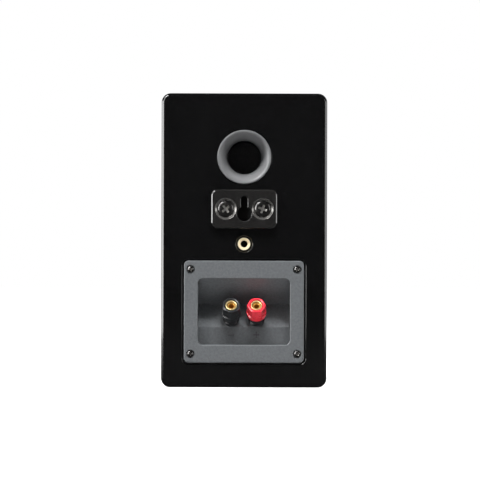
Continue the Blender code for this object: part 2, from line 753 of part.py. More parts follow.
def make_port_tube():
    """The straight tube, belled at its inner end."""
    start = port_seat() - GAP
    end = -PORT_LENGTH
    outer = PORT_THROAT_RADIUS + PORT_WALL
    bell = PORT_INNER_FLARE
    bore = [(PORT_THROAT_RADIUS + bell * (1 - math.cos(a)), end + bell * (1 - math.sin(a)))
            for a in (math.pi / 2 * (1 - k / 3) for k in range(4))]
    profile = [
        (PORT_THROAT_RADIUS, start), (outer, start), (outer, end + bell),
        (PORT_THROAT_RADIUS + bell, end + PORT_RIM), *bore,
    ]
    return turned("port_tube", profile, "port_plastic", PORT_AT, steps=STEPS_MEDIUM)


# Bracket and insert

def keyhole(grow=0.0, steps=14):
    """Outline of the keyhole: a round hole with a slot above it, grown by a margin, as (x, z)."""
    hole, slot = KEYHOLE_RADIUS + grow, KEYHOLE_SLOT / 2 + grow
    neck = math.asin(slot / hole)
    sweep = math.tau - 2 * neck
    top = KEYHOLE_REACH - KEYHOLE_SLOT / 2
    points = []
    for k in range(steps + 1):
        angle = math.pi / 2 + neck + sweep * k / steps
        points.append((hole * math.cos(angle), hole * math.sin(angle) - KEYHOLE_DROP))
    for k in range(9):
        angle = math.pi * k / 8
        points.append((slot * math.cos(angle), slot * math.sin(angle) + top))
    return points


def make_bracket():
    """The wall plate: rounded edges, two dished screw seats and a chamfered keyhole."""
    size = (BRACKET_WIDTH, BRACKET_HEIGHT, BRACKET_CORNER)
    sections = [(rounded(*size), GAP), *edge_sections(*size, BRACKET_EDGE, BRACKET_DEPTH, -1)]
    plate = stacked("keyhole_bracket", sections, "black_metal", BRACKET_AT)
    over = BRACKET_DEPTH + OVERCUT
    through = stacked("keyhole_cut", [(keyhole(), -OVERCUT), (keyhole(), over)], None, BRACKET_AT)
    wide = keyhole(KEYHOLE_CHAMFER + OVERCUT)
    bevel = [(keyhole(), BRACKET_DEPTH - KEYHOLE_CHAMFER), (wide, over)]
    chamfer = stacked("keyhole_chamfer", bevel, None, BRACKET_AT)
    seat = BRACKET_HEAD_RADIUS + GAP
    floor = bracket_seat()
    hole = BRACKET_SHANK_RADIUS + GAP
    dish = [
        (hole, -OVERCUT), (hole, floor), (seat, floor), (seat, BRACKET_DEPTH - BRACKET_SINK_DEPTH),
        (BRACKET_SINK_RADIUS, BRACKET_DEPTH), (BRACKET_SINK_RADIUS + OVERCUT, over),
    ]
    places = bracket_screw_places().items()
    seats = [drill(f"bracket_seat_{name}", dish, at, steps=STEPS_MEDIUM) for name, at in places]
    return combine(plate, [through, chamfer, *seats])


def bracket_seat():
    """Height of the dished seats' floors above the cabinet's back."""
    return BRACKET_DEPTH - BRACKET_SINK_DEPTH - BRACKET_SEAT_STEP


def make_bracket_screws():
    """The bracket's two domed screws."""
    mesh = screw_mesh("bracket_screw", BRACKET_HEAD_RADIUS, BRACKET_HEAD_HEIGHT, BRACKET_SHANK_RADIUS,
                      BRACKET_SHANK_LENGTH - SCREW_TIP_ROOM, "black_metal")
    for name, at in bracket_screw_places().items():
        placed(f"bracket_screw_{name}", mesh, at + Vector((0, bracket_seat() + GAP, 0)), TO_REAR)


def make_insert():
    """The brass insert, bored for a bolt and chamfered at its mouth."""
    top, bevel = -INSERT_SUNK, INSERT_BEVEL
    low = top - INSERT_LENGTH
    profile = [
        (INSERT_BORE, low), (INSERT_BORE, top - bevel), (INSERT_BORE + bevel, top),
        (INSERT_RADIUS - bevel / 2, top), (INSERT_RADIUS, top - bevel / 2), (INSERT_RADIUS, low),
    ]
    return turned("threaded_insert", profile, "brass", INSERT_AT, steps=STEPS_MEDIUM)


# Terminal cup

def recess_profile(grow=0.0):
    """Outline (y, z) of the space inside the cup, from its mouth: shelf, tilted seat, sloped roof.

    grow moves every wall outwards, for the outside of the cup's body.
    """
    low, high = -RECESS_HEIGHT / 2, RECESS_HEIGHT / 2
    shelf_top = low + RECESS_SHELF_HEIGHT
    seat_top = shelf_top + RECESS_SEAT_HEIGHT
    mouth = 2 * OVERCUT
    return [
        (mouth, low - grow), (-RECESS_SHELF_DEPTH - grow, low - grow),
        (-RECESS_SHELF_DEPTH - grow, shelf_top + grow * math.tan(POST_TILT / 2)),
        (-RECESS_DEPTH - grow, seat_top + grow * math.tan(POST_TILT / 2)),
        (-RECESS_LIP - grow, high), (-RECESS_LIP, high + grow), (mouth, high + grow),
    ]


def recess_block(name, grow, mouth):
    """The recess as a solid: its side view run across, kept inside its rounded mouth outline."""
    across, up = RECESS_WIDTH + 2 * grow, RECESS_HEIGHT + 2 * grow
    sections = box_sections(across, up, RECESS_CORNER + grow, -RECESS_DEPTH - grow - OVERCUT, mouth)
    block = stacked(name, sections, "cup_plastic", CUP_AT)
    side_view = extruded_across(name + "_side", recess_profile(grow), CUP_WIDTH, None, CUP_AT)
    return combine(block, [side_view], "INTERSECT")


def make_cup():
    """The cup: plate, recess walls and the stand-offs that carry the crossover board."""
    size = (CUP_WIDTH, CUP_HEIGHT, CUP_CORNER)
    sections = [(rounded(*size), -CUP_PLATE), *edge_sections(*size, CUP_EDGE, 0, -1)]
    cup = stacked("terminal_cup", sections, "cup_plastic", CUP_AT)
    combine(cup, [recess_block("cup_body", CUP_WALL, -CUP_EDGE)], "UNION")
    tip = board_depth() + GAP
    foot = -RECESS_SHELF_DEPTH
    pin = [(0, tip), (STANDOFF_RADIUS, tip), (STANDOFF_RADIUS, foot), (0, foot)]
    pins = [
        turned(f"standoff_{side}", pin, None, CUP_AT + Vector((x, 0, z)), steps=STEPS_SCREW)
        for side, (x, z) in standoff_places().items()
    ]
    combine(cup, pins, "UNION")
    combine(cup, [recess_block("cup_recess", 0.0, OVERCUT)])
    shank = CUP_SCREW_SHANK + GAP
    sink = [(shank, -CUP_PLATE - OVERCUT), (shank, -CUP_SCREW_SINK_DEPTH),
            (CUP_SCREW_SINK, -CUP_SCREW_SINK_DEPTH), (CUP_SCREW_SINK, OVERCUT)]
    sinks = [drill(f"cup_sink_{n}", sink, at) for n, at in cup_screw_places().items()]
    bore = STUD_RADIUS + GAP
    holes = [
        drill(f"stud_hole_{name}", [(bore, -2 * CUP_WALL), (bore, 2 * CUP_WALL)], at, post_turn())
        for name, at in post_places().items()
    ]
    return combine(cup, [*sinks, *holes])


def standoff_places():
    """The two stand-offs, behind the ridge where the recess is deepest."""
    x = RECESS_WIDTH / 2 - STANDOFF_RADIUS - STANDOFF_INSET
    z = RECESS_SHELF_HEIGHT + RECESS_SEAT_HEIGHT - RECESS_HEIGHT / 2
    return {"left": (-x, z), "right": (x, z)}


def board_depth():
    """Height of the board's outer face, below the cup's front face."""
    return -(RECESS_DEPTH + CUP_WALL + BOARD_CLEARANCE)


def make_gasket():
    """The foam gasket between the cup's plate and the cabinet."""
    size = (CUP_WIDTH - 2 * GASKET_INSET, CUP_HEIGHT - 2 * GASKET_INSET, CUP_CORNER)
    top = -CUP_PLATE - GAP
    low = top - GASKET_THICKNESS
    gasket = stacked("cup_gasket", box_sections(*size, low, top), "foam", CUP_AT)
    window = stacked("gasket_window", around_recess(low - OVERCUT, top + OVERCUT), None, CUP_AT)
    shank = CUP_SCREW_SHANK + GAP
    hole = [(shank, low - OVERCUT), (shank, top + OVERCUT)]
    places = cup_screw_places().items()
    holes = [drill(f"gasket_hole_{name}", hole, at, steps=STEPS_SCREW) for name, at in places]
    return combine(gasket, [window, *holes])


def make_cup_screws():
    """The four screws in the corners of the plate."""
    mesh = screw_mesh("cup_screw", CUP_SCREW_HEAD, CUP_SCREW_HEAD_HEIGHT, CUP_SCREW_SHANK,
                      CUP_SCREW_LENGTH - CUP_SCREW_SINK_DEPTH, "black_metal")
    for name, at in cup_screw_places().items():
        placed(f"cup_screw_{name}", mesh, at + Vector((0, GAP - CUP_SCREW_SINK_DEPTH, 0)), TO_REAR)


# Binding posts

def post_places():
    """Where each post's axis meets the tilted seat. Red is at -X, on the right from behind."""
    depth = RECESS_SHELF_DEPTH + POST_RISE * math.tan(POST_TILT)
    foot = CUP_AT + Vector((0, -depth, RECESS_SHELF_HEIGHT + POST_RISE - RECESS_HEIGHT / 2))
    half = Vector((POST_SPACING / 2, 0, 0))
    return {"black": foot + half, "red": foot - half}


def post_turn():
    """Turns local Z to a post's axis, which points out of the cup and up."""
    return (POST_TILT - math.pi / 2, 0, 0)


def make_post(colour, at, finish, spin):
    """One binding post on an empty at its foot: stud, collar, clamp washer, knob, core and nut."""
    foot = bpy.data.objects.new(f"{colour}_post_axis", None)
    bpy.context.scene.collection.objects.link(foot)
    foot.location = at
    foot.rotation_euler = post_turn()
    bore = STUD_RADIUS + GAP
    collar = [(bore, GAP), (COLLAR_RADIUS, GAP), (COLLAR_RADIUS, COLLAR_RIM), (COLLAR_WAIST, COLLAR_NECK),
              (COLLAR_WAIST, COLLAR_HEIGHT), (bore, COLLAR_HEIGHT)]
    turned(f"{colour}_post_collar", collar, "black_plastic", turn=(0, 0, 0), steps=STEPS_MEDIUM, parent=foot)
    washer_low = COLLAR_HEIGHT + GAP
    washer_high = washer_low + WASHER_THICKNESS
    washer = ring(bore, WASHER_RADIUS, washer_low, washer_high)
    turned(f"{colour}_post_washer", washer, "gold", turn=(0, 0, 0), steps=STEPS_SMALL, parent=foot)
    knob_low = washer_high + GAP
    make_knob(colour, finish, knob_low, spin, foot)
    make_stud(colour, knob_low + KNOB_LENGTH - STUD_SUNK, foot)
    wall = CUP_WALL + GAP
    nut = prism(f"{colour}_post_nut", NUT_FLATS, -wall - NUT_THICKNESS, -wall, "brass", foot)
    through = [(bore, -wall - NUT_THICKNESS - OVERCUT), (bore, OVERCUT - wall)]
    combine(nut, [drill(f"{colour}_nut_bore", through, (0, 0, 0), (0, 0, 0), parent=foot)])


def make_stud(colour, tip, foot):
    """The gold-plated stud: a banana socket in its tip and a cross hole for bare wire."""
    bevel = STUD_BEVEL
    profile = [
        (0, -STUD_TAIL), (STUD_RADIUS - bevel, -STUD_TAIL), (STUD_RADIUS, bevel - STUD_TAIL),
        (STUD_RADIUS, tip - bevel), (STUD_RADIUS - bevel, tip), (SOCKET_RADIUS + bevel, tip),
        (SOCKET_RADIUS, tip - bevel), (SOCKET_RADIUS, tip - SOCKET_DEPTH),
        (0, tip - SOCKET_DEPTH - SOCKET_RADIUS / 2),
    ]
    stud = turned(f"{colour}_post_stud", profile, "gold", turn=(0, 0, 0), steps=STEPS_SMALL, parent=foot)
    across = (0, math.pi / 2, 0)
    hole = [(WIRE_HOLE_RADIUS, -2 * STUD_RADIUS), (WIRE_HOLE_RADIUS, 2 * STUD_RADIUS)]
    wire_hole = drill(f"{colour}_wire_hole", hole, (0, 0, WIRE_HOLE_HEIGHT), across, STEPS_SCREW, foot)
    return combine(stud, [wire_hole])


def make_knob(colour, finish, low, spin, foot):
    """The moulded hexagonal knob on its round skirt, and the metal core that it turns with."""
    high = low + KNOB_LENGTH
    middle = low + KNOB_SKIRT_HEIGHT / 2
    hexagon = prism(f"{colour}_knob", KNOB_FLATS, middle, high, finish, foot, turn=(0, 0, spin))
    corner = KNOB_FLATS / 2 / math.cos(math.pi / 6)
    face = corner - KNOB_CHAMFER
    wide = corner + OVERCUT
    crown = [(0, low), (wide, low), (wide, high - KNOB_CROWN), (face, high), (0, high)]
    crowned = turned(f"{colour}_knob_crown", crown, None, turn=(0, 0, 0), steps=STEPS_MEDIUM, parent=foot)
    combine(hexagon, [crowned], "INTERSECT")
    edge, rim, skirt_top = KNOB_EDGE, KNOB_SKIRT_RADIUS, low + KNOB_SKIRT_HEIGHT
    skirt = [
        (0, low), (rim - edge, low), (rim, low + edge), (rim, skirt_top - edge), (rim - edge, skirt_top),
        (0, skirt_top),
    ]
    round_skirt = turned(f"{colour}_knob_skirt", skirt, None, turn=(0, 0, 0), steps=STEPS_MEDIUM, parent=foot)
    combine(hexagon, [round_skirt], "UNION")
    bore = CORE_RADIUS + GAP
    dish = KNOB_DISH + OVERCUT
    hole = [(bore, low - OVERCUT), (bore, high - KNOB_DISH), (bore + dish, high + OVERCUT)]
    combine(hexagon, [drill(f"{colour}_knob_bore", hole, (0, 0, 0), (0, 0, 0), STEPS_SMALL, foot)])
    thread = STUD_RADIUS + GAP
    top = high - CORE_SUNK
    bevel = CORE_BEVEL
    core = [
        (thread, low + GAP), (CORE_RADIUS, low + GAP), (CORE_RADIUS, top - bevel),
        (CORE_RADIUS - bevel, top), (thread, top),
    ]
    turned(f"{colour}_knob_core", core, "gold", turn=(0, 0, 0), steps=STEPS_SMALL, parent=foot)


# Woofer

def woofer_screw_places():
    """The woofer's four screws, on the diagonals."""
    places = around(WOOFER_SCREWS, WOOFER_RADIUS - WOOFER_SCREW_INSET, math.pi / 4)
    return [WOOFER_AT + Vector((x, 0, z)) for x, z in places]


def make_basket():
    """The woofer's frame: flange, windowed wall, spider ledge and the floor that carries the magnet."""
    flange, floor = WOOFER_FLANGE, WOOFER_DEPTH
    outer_foot = SPIDER_RADIUS + BASKET_WALL
    bore = MAGNET_GAP_RADIUS + BASKET_BORE_ROOM
    inside = [
        (WOOFER_LEDGE_RADIUS, 0), (WOOFER_LEDGE_RADIUS, WOOFER_LEDGE_DEPTH),
        (WOOFER_OPENING_RADIUS, WOOFER_LEDGE_DEPTH), (WOOFER_OPENING_RADIUS, flange),
        (SPIDER_RADIUS, SPIDER_DEPTH), (SPIDER_RADIUS - SPIDER_SEAT, SPIDER_DEPTH),
        (SPIDER_RADIUS - SPIDER_SEAT, floor), (bore, floor),
    ]
    shoulder = WOOFER_OPENING_RADIUS + BASKET_WALL
    outside = [
        (bore, floor + BASKET_FLOOR), (outer_foot, floor + BASKET_FLOOR),
        (outer_foot, SPIDER_DEPTH), (shoulder, flange + BASKET_SHOULDER),
        (shoulder, flange), (WOOFER_RADIUS, flange), (WOOFER_RADIUS, 0),
    ]
    basket = turned("woofer_basket", [*inside, *outside], "black_metal", WOOFER_AT)
    radius = (WOOFER_OPENING_RADIUS + SPIDER_RADIUS) / 2
    low, high = flange + WINDOW_BELOW_FLANGE, SPIDER_DEPTH - WINDOW_ABOVE_SPIDER
    width = radius * math.tau / BASKET_WINDOWS * WINDOW_SHARE
    windows = [
        basket_window(k, x, z, radius, width, low, high)
        for k, (x, z) in enumerate(around(BASKET_WINDOWS, radius, math.pi / 6))
    ]
    hole = DRIVER_SCREW_SHANK + GAP
    through = [(hole, -OVERCUT), (hole, flange + OVERCUT)]
    screws = [
        drill(f"flange_hole_{k}", through, at, steps=STEPS_SCREW)
        for k, at in enumerate(woofer_screw_places())
    ]
    return combine(basket, [*windows, *screws])


def basket_window(number, x, z, radius, width, low, high):
    """A cutter for one window in the basket's wall."""
    edit = bmesh.new()
    bmesh.ops.create_cube(edit, size=1)
    bmesh.ops.scale(edit, verts=edit.verts, vec=(radius, high - low, width))
    made = solid(f"basket_window_{number}", edit, None, WOOFER_AT + Vector((x, (low + high) / 2, z)))
    made.rotation_euler = (0, -math.atan2(z, x), 0)
    return made


def make_woofer_soft_parts():
    """The rubber surround and the corrugated spider, which flex as the cone moves."""
    top, thick = WOOFER_LEDGE_DEPTH - GAP - SURROUND_THICKNESS, SURROUND_THICKNESS
    middle, half = (ROLL_OUTER + ROLL_INNER) / 2, (ROLL_OUTER - ROLL_INNER) / 2
    front, rear = [], []
    for k in range(7):
        angle = math.pi * k / 6
        front.append((middle + half * math.cos(angle), top - ROLL_HEIGHT * math.sin(angle)))
        rear.append((middle + (half - thick) * math.cos(angle),
                     top + thick - ROLL_HEIGHT * math.sin(angle)))
    outer, inner = WOOFER_LEDGE_RADIUS - GAP, ROLL_INNER - SURROUND_LIP
    under = top + thick
    surround = [(outer, under), (outer, top), *front, (inner, top), (inner, under), *reversed(rear)]
    turned("woofer_surround", surround, "rubber", WOOFER_AT)
    inner, outer = COIL_OUTER + GAP, SPIDER_RADIUS - GAP
    count, wave, skin = 7, SPIDER_WAVE, SPIDER_SKIN
    rear = SPIDER_DEPTH - GAP
    ridge = []
    for k in range(count):
        share = k / (count - 1)
        ripple = wave * math.sin(share * math.tau * SPIDER_RIPPLES) * math.sin(math.pi * share)
        ridge.append((inner + (outer - inner) * share, rear - wave - skin + ripple))
    spider = [*ridge, *[(radius, depth + skin) for radius, depth in reversed(ridge)]]
    turned("woofer_spider", spider, "spider", WOOFER_AT, steps=STEPS_MEDIUM)


def cone_line(radius):
    """Depth of the cone's front surface at a radius: a straight flank with a slight bow."""
    outer, inner = ROLL_INNER - GAP, COIL_OUTER + GAP
    share = (outer - radius) / (outer - inner)
    edge = WOOFER_LEDGE_DEPTH + GAP
    return edge + (CONE_NECK_DEPTH - edge) * share - CONE_BOW * math.sin(math.pi * share)


def make_cone():
    """The cone, its dust cap, and the voice coil that drives it."""
    outer, inner = ROLL_INNER - GAP, COIL_OUTER + GAP
    radii = [outer + (inner - outer) * k / 4 for k in range(5)]
    front = [(radius, cone_line(radius)) for radius in radii]
    rear = [(radius, depth + CONE_THICKNESS) for radius, depth in reversed(front)]
    turned("woofer_cone", [*front, *rear], "cone", WOOFER_AT)
    foot = cone_line(DUST_CAP_RADIUS) - GAP - CONE_THICKNESS
    cap_front, cap_rear = [], []
    for k in range(5):
        angle = math.pi / 2 * k / 4
        radius = DUST_CAP_RADIUS * math.sin(angle)
        depth = foot - DUST_CAP_HEIGHT * math.cos(angle) ** 1.5
        cap_front.append((radius, depth))
        cap_rear.append((radius, depth + CONE_THICKNESS))
    turned("woofer_dust_cap", [*cap_front, *reversed(cap_rear)], "cone", WOOFER_AT, steps=STEPS_MEDIUM)
    start = CONE_NECK_DEPTH - COIL_ABOVE_NECK
    coil = ring(COIL_INNER, COIL_OUTER, start, start + COIL_LENGTH)
    turned("woofer_voice_coil", coil, "copper", WOOFER_AT, steps=STEPS_MEDIUM)


def make_woofer_motor():
    """The magnet system: top plate, ferrite ring, and the yoke with its vented pole."""
    face = WOOFER_DEPTH + BASKET_FLOOR + GAP
    plate = ring(MAGNET_GAP_RADIUS, TOP_PLATE_RADIUS, face, face + TOP_PLATE_THICKNESS)
    turned("woofer_top_plate", plate, "steel", WOOFER_AT, steps=STEPS_MEDIUM)
    near = face + TOP_PLATE_THICKNESS + GAP
    back = near + MAGNET_THICKNESS
    hollow, outer, bevel = MAGNET_GAP_RADIUS + MAGNET_BORE_ROOM, MAGNET_RADIUS, MOTOR_BEVEL
    magnet = [
        (hollow, near), (outer - bevel, near), (outer, near + bevel), (outer, back - bevel),
        (outer - bevel, back), (hollow, back),
    ]
    turned("woofer_magnet", magnet, "ferrite", WOOFER_AT, steps=STEPS_MEDIUM)
    yoke = back + GAP
    end = yoke + YOKE_THICKNESS
    rim = TOP_PLATE_RADIUS
    profile = [
        (POLE_VENT, face), (POLE_RADIUS, face), (POLE_RADIUS, yoke), (rim, yoke), (rim, end - bevel),
        (rim - bevel, end), (POLE_VENT + bevel, end), (POLE_VENT, end - bevel),
    ]
    turned("woofer_yoke", profile, "steel", WOOFER_AT, steps=STEPS_MEDIUM)


def make_woofer_screws():
    """The four screws that hold the woofer."""
    mesh = screw_mesh("woofer_screw", WOOFER_SCREW_HEAD, WOOFER_SCREW_HEIGHT, DRIVER_SCREW_SHANK,
                      WOOFER_SCREW_LENGTH, "black_metal")
    for number, at in enumerate(woofer_screw_places(), 1):
        placed(f"woofer_screw_{number}", mesh, at - Vector((0, GAP, 0)), TO_FRONT)


# Tweeter

def tweeter_screw_places():
    """The tweeter's three screws."""
    places = around(TWEETER_SCREWS, TWEETER_RADIUS - TWEETER_SCREW_INSET, math.pi / 2)
    return [TWEETER_AT + Vector((x, 0, z)) for x, z in places]


def waveguide_throat():
    """Radius of the waveguide's small end, just outside the dome's roll."""
    return DOME_RADIUS + TWEETER_ROLL


def make_faceplate():
    """The tweeter's faceplate, dished to a shallow waveguide round the dome."""
    throat = waveguide_throat() - THROAT_OVERHANG
    dish = []
    for k in range(6):
        share = k / 5
        radius = WAVEGUIDE_RADIUS + (throat - WAVEGUIDE_RADIUS) * share
        dish.append((radius, WAVEGUIDE_DEPTH * share ** 1.8))
    back = WAVEGUIDE_DEPTH + WAVEGUIDE_LIP
    step = WAVEGUIDE_RADIUS + WAVEGUIDE_WALL
    profile = [
        *reversed(dish), (TWEETER_RADIUS - FACEPLATE_EDGE, 0), (TWEETER_RADIUS, FACEPLATE_EDGE),
        (TWEETER_RADIUS, TWEETER_FLANGE), (step, TWEETER_FLANGE), (step, back), (throat, back),
    ]
    plate = turned("tweeter_faceplate", profile, "black_plastic", TWEETER_AT)
    shank, head = DRIVER_SCREW_SHANK + GAP, CUP_SCREW_HEAD + GAP
    sink = [(head, -OVERCUT), (head, CUP_SCREW_SINK_DEPTH), (shank, CUP_SCREW_SINK_DEPTH),
            (shank, TWEETER_FLANGE + OVERCUT)]
    places = enumerate(tweeter_screw_places())
    sinks = [drill(f"tweeter_sink_{k}", sink, at, steps=STEPS_SCREW) for k, at in places]
    return combine(plate, sinks)


def dome_rim_depth():
    """Depth of the dome's rim behind the baffle's face."""
    return WAVEGUIDE_DEPTH + WAVEGUIDE_LIP + GAP


def make_dome():
    """The dome with its coil skirt, and the soft roll that carries it."""
    rim = dome_rim_depth() + DOME_SUNK
    skirt, skin = DOME_SKIRT, DOME_THICKNESS
    front, rear = [], []
    for k in range(5):
        angle = math.pi / 2 * k / 4
        front.append((DOME_RADIUS * math.sin(angle), rim - DOME_HEIGHT * math.cos(angle)))
        rear.append(((DOME_RADIUS - skin) * math.sin(angle), rim + skin - DOME_HEIGHT * math.cos(angle)))
    profile = [*front, (DOME_RADIUS, rim + skirt), (DOME_RADIUS - skin, rim + skirt), *reversed(rear)]
    turned("tweeter_dome", profile, "dome", TWEETER_AT, steps=STEPS_MEDIUM)
    inner = DOME_RADIUS + GAP
    roll = waveguide_throat() - TWEETER_ROLL_TUCK
    outer = roll + TWEETER_ROLL_LIP
    middle, half = (inner + roll) / 2, (roll - inner) / 2
    top = dome_rim_depth()
    rise = TWEETER_ROLL_ARCH * half
    angles = [math.pi * k / 4 for k in range(5)]
    arch = [(middle - half * math.cos(a), top - rise * math.sin(a)) for a in angles]
    under = top + TWEETER_ROLL_SKIN
    turned("tweeter_surround", [*arch, (outer, top), (outer, under), (inner, under)], "rubber", TWEETER_AT,
           steps=STEPS_MEDIUM)


def make_tweeter_motor():
    """The tweeter's top plate, magnet ring and yoke."""
    gap_radius = DOME_RADIUS + COIL_CLEARANCE
    face = tweeter_motor_face()
    rear = face + TWEETER_PLATE_THICKNESS
    plate = ring(gap_radius, TWEETER_PLATE_RADIUS, face, rear)
    turned("tweeter_top_plate", plate, "steel", TWEETER_AT, steps=STEPS_MEDIUM)
    near = rear + GAP
    back = near + TWEETER_MAGNET_THICKNESS
    magnet = ring(gap_radius + TWEETER_MAGNET_ROOM, TWEETER_MAGNET_RADIUS, near, back)
    turned("tweeter_magnet", magnet, "ferrite", TWEETER_AT, steps=STEPS_MEDIUM)
    end = tweeter_rear()
    yoke = end - TWEETER_PLATE_THICKNESS
    pole, rim = TWEETER_POLE, TWEETER_PLATE_RADIUS
    profile = [(0, face), (pole, face), (pole, yoke), (rim, yoke), (rim, end), (0, end)]
    turned("tweeter_yoke", profile, "steel", TWEETER_AT, steps=STEPS_MEDIUM)


def tweeter_motor_face():
    """Depth of the top plate's front face behind the baffle's face."""
    return dome_rim_depth() + TWEETER_ROLL_SKIN + GAP


def tweeter_rear():
    """Depth of the yoke's rear face behind the baffle's face."""
    return tweeter_motor_face() + 2 * TWEETER_PLATE_THICKNESS + TWEETER_MAGNET_THICKNESS + 2 * GAP


def make_diffuser():
    """A small disc in front of the dome, on three arms that rest in the waveguide."""
    rim = dome_rim_depth() + DOME_SUNK
    rear = rim - DOME_HEIGHT - DIFFUSER_STAND_OFF
    front = rear - DIFFUSER_THICKNESS
    bevel = DIFFUSER_BEVEL
    profile = [
        (0, front), (DIFFUSER_RADIUS - bevel, front), (DIFFUSER_RADIUS, front + bevel),
        (DIFFUSER_RADIUS, rear), (0, rear),
    ]
    disc = turned("tweeter_diffuser", profile, "black_plastic", TWEETER_AT, steps=STEPS_MEDIUM)
    reach = WAVEGUIDE_RADIUS + DIFFUSER_FOOT
    face = front + DIFFUSER_ARM_STEP
    side_view = [(0, face), (reach, face), (reach, -GAP), (0, -GAP)]
    arms = []
    for number, (x, z) in enumerate(around(TWEETER_SCREWS, 1, -math.pi / 2)):
        arm = extruded_across(f"diffuser_arm_{number}", side_view, DIFFUSER_ARM, None)
        arm.matrix_world = Matrix.Translation(TWEETER_AT) @ arm_turn(x, z)
        arms.append(arm)
    return combine(disc, arms, "UNION")


def arm_turn(x, z):
    """Turns an arm's local Y to a radial direction of the tweeter, and its local Z to the rear."""
    along, rearwards = Vector((x, 0, z)), Vector((0, 1, 0))
    return Matrix((along.cross(rearwards), along, rearwards)).transposed().to_4x4()


def make_tweeter_screws():
    """The three screws that hold the tweeter."""
    mesh = screw_mesh("tweeter_screw", CUP_SCREW_HEAD, CUP_SCREW_HEAD_HEIGHT, DRIVER_SCREW_SHANK,
                      TWEETER_SCREW_LENGTH, "black_metal")
    for number, at in enumerate(tweeter_screw_places(), 1):
        placed(f"tweeter_screw_{number}", mesh, at + Vector((0, CUP_SCREW_SINK_DEPTH - GAP, 0)), TO_FRONT)


# Crossover and wiring

def make_crossover():
    """The filter board and its parts, which face into the cabinet."""
    face = CUP_AT.y + board_depth()
    rear = face - BOARD_THICKNESS
    stacked(
        "crossover_board",
        box_sections(BOARD_WIDTH, BOARD_HEIGHT, BOARD_CORNER, rear, face),
        "board", (0, 0, CUP_Z),
    )
    seat = rear - GAP
    coil = ring(INDUCTOR_BORE, INDUCTOR_RADIUS, 0, INDUCTOR_HEIGHT)
    turned("crossover_inductor", coil, "copper", on_board(INDUCTOR_AT, seat), TO_FRONT, STEPS_MEDIUM)
    radius, half, bevel = CAPACITOR_RADIUS, CAPACITOR_LENGTH / 2, CAPACITOR_BEVEL
    can = [
        (0, -half), (radius - bevel, -half), (radius, bevel - half), (radius, half - bevel),
        (radius - bevel, half), (0, half),
    ]
    across = (0, math.pi / 2, 0)
    turned("crossover_capacitor", can, "film", on_board(CAPACITOR_AT, seat - radius), across, STEPS_SMALL)
    half, depth = RESISTOR_SIDE / 2, RESISTOR_SIDE
    block = [(0, -half), (0, half), (-depth, half), (-depth, -half)]
    extruded_across("crossover_resistor", block, RESISTOR_LENGTH, "ceramic", on_board(RESISTOR_AT, seat))


def on_board(place, y):
    """A point on the board from its (x, z) place and its depth."""
    return Vector((place[0], y, CUP_Z + place[1]))


def lead(name, route):
    """A two-core lead: a smooth curve through its route's points, with a straight run at each end."""
    curve = bpy.data.curves.new(name, "CURVE")
    curve.dimensions = "3D"
    curve.bevel_depth = LEAD_RADIUS
    curve.bevel_resolution = 1
    curve.use_fill_caps = True
    path = [route[0], *smoothed(route[1:-1]), route[-1]]
    spline = curve.splines.new("POLY")
    spline.points.add(len(path) - 1)
    for point, place in zip(spline.points, path):
        point.co = (*place, 1)
    curve.materials.append(FINISHES["black_plastic"])
    made = bpy.data.objects.new(name, curve)
    bpy.context.scene.collection.objects.link(made)
    return made


def smoothed(route, per_span=4):
    """Points on a Catmull-Rom curve through the route."""
    ends = [2 * route[0] - route[1], *route, 2 * route[-1] - route[-2]]
    path = []
    for a, b, c, d in zip(ends, ends[1:], ends[2:], ends[3:]):
        for k in range(per_span):
            t = k / per_span
            path.append(0.5 * ((2 * b) + (c - a) * t + (2 * a - 5 * b + 4 * c - d) * t ** 2
                               + (3 * b - a - 3 * c + d) * t ** 3))
    return [*path, route[-1]]


def make_leads():
    """The leads from the board to each driver."""
    board_y = CUP_AT.y + board_depth() - BOARD_THICKNESS - GAP
    straight = Vector((0, LEAD_STRAIGHT, 0))
    start = Vector((0.004, board_y, CUP_Z - 0.024))
    wall = SPIDER_RADIUS + BASKET_WALL + GAP
    clear = max(wall, MAGNET_RADIUS) + LEAD_RADIUS + LEAD_CLEARANCE
    tag_depth = (SPIDER_DEPTH + WOOFER_DEPTH + BASKET_FLOOR) / 2
    tag = WOOFER_AT + Vector((wall, tag_depth, 0))
    lead("woofer_lead", [
        start, start - straight, start + Vector((0.020, -0.026, 0.002)),
        WOOFER_AT + Vector((clear, tag_depth + 0.026, 0)), WOOFER_AT + Vector((clear, tag_depth + 0.007, 0)),
        tag + Vector((LEAD_STRAIGHT / 2, 0, 0)), tag,
    ])
    top = Vector((0.030, board_y, CUP_Z + 0.0275))
    through = Vector((0.018, CAVITY_REAR - 0.055, BRACE_Z + BRACE_THICKNESS / 2))
    tweeter_back = TWEETER_AT + Vector((0.018, tweeter_rear() + 2 * GAP, -0.010))
    lead("tweeter_lead", [
        top, top - straight, through + Vector((0.006, 0.012, -0.022)), through,
        through + Vector((0.002, -0.012, 0.012)), tweeter_back + straight, tweeter_back,
    ])
    back_along = STUD_TAIL - LEAD_RADIUS - LEAD_CLEARANCE / 2
    tail = post_places()["red"] - back_along * Vector((0, math.cos(POST_TILT), math.sin(POST_TILT)))
    beside_stud = tail - Vector((STUD_RADIUS + GAP, 0, 0))
    end = Vector((beside_stud.x - 0.010, CUP_AT.y + board_depth() + GAP, tail.z))
    lead("input_lead", [
        beside_stud, beside_stud - Vector((0.005, 0, 0)), end + straight / 2, end,
    ])


# Grille

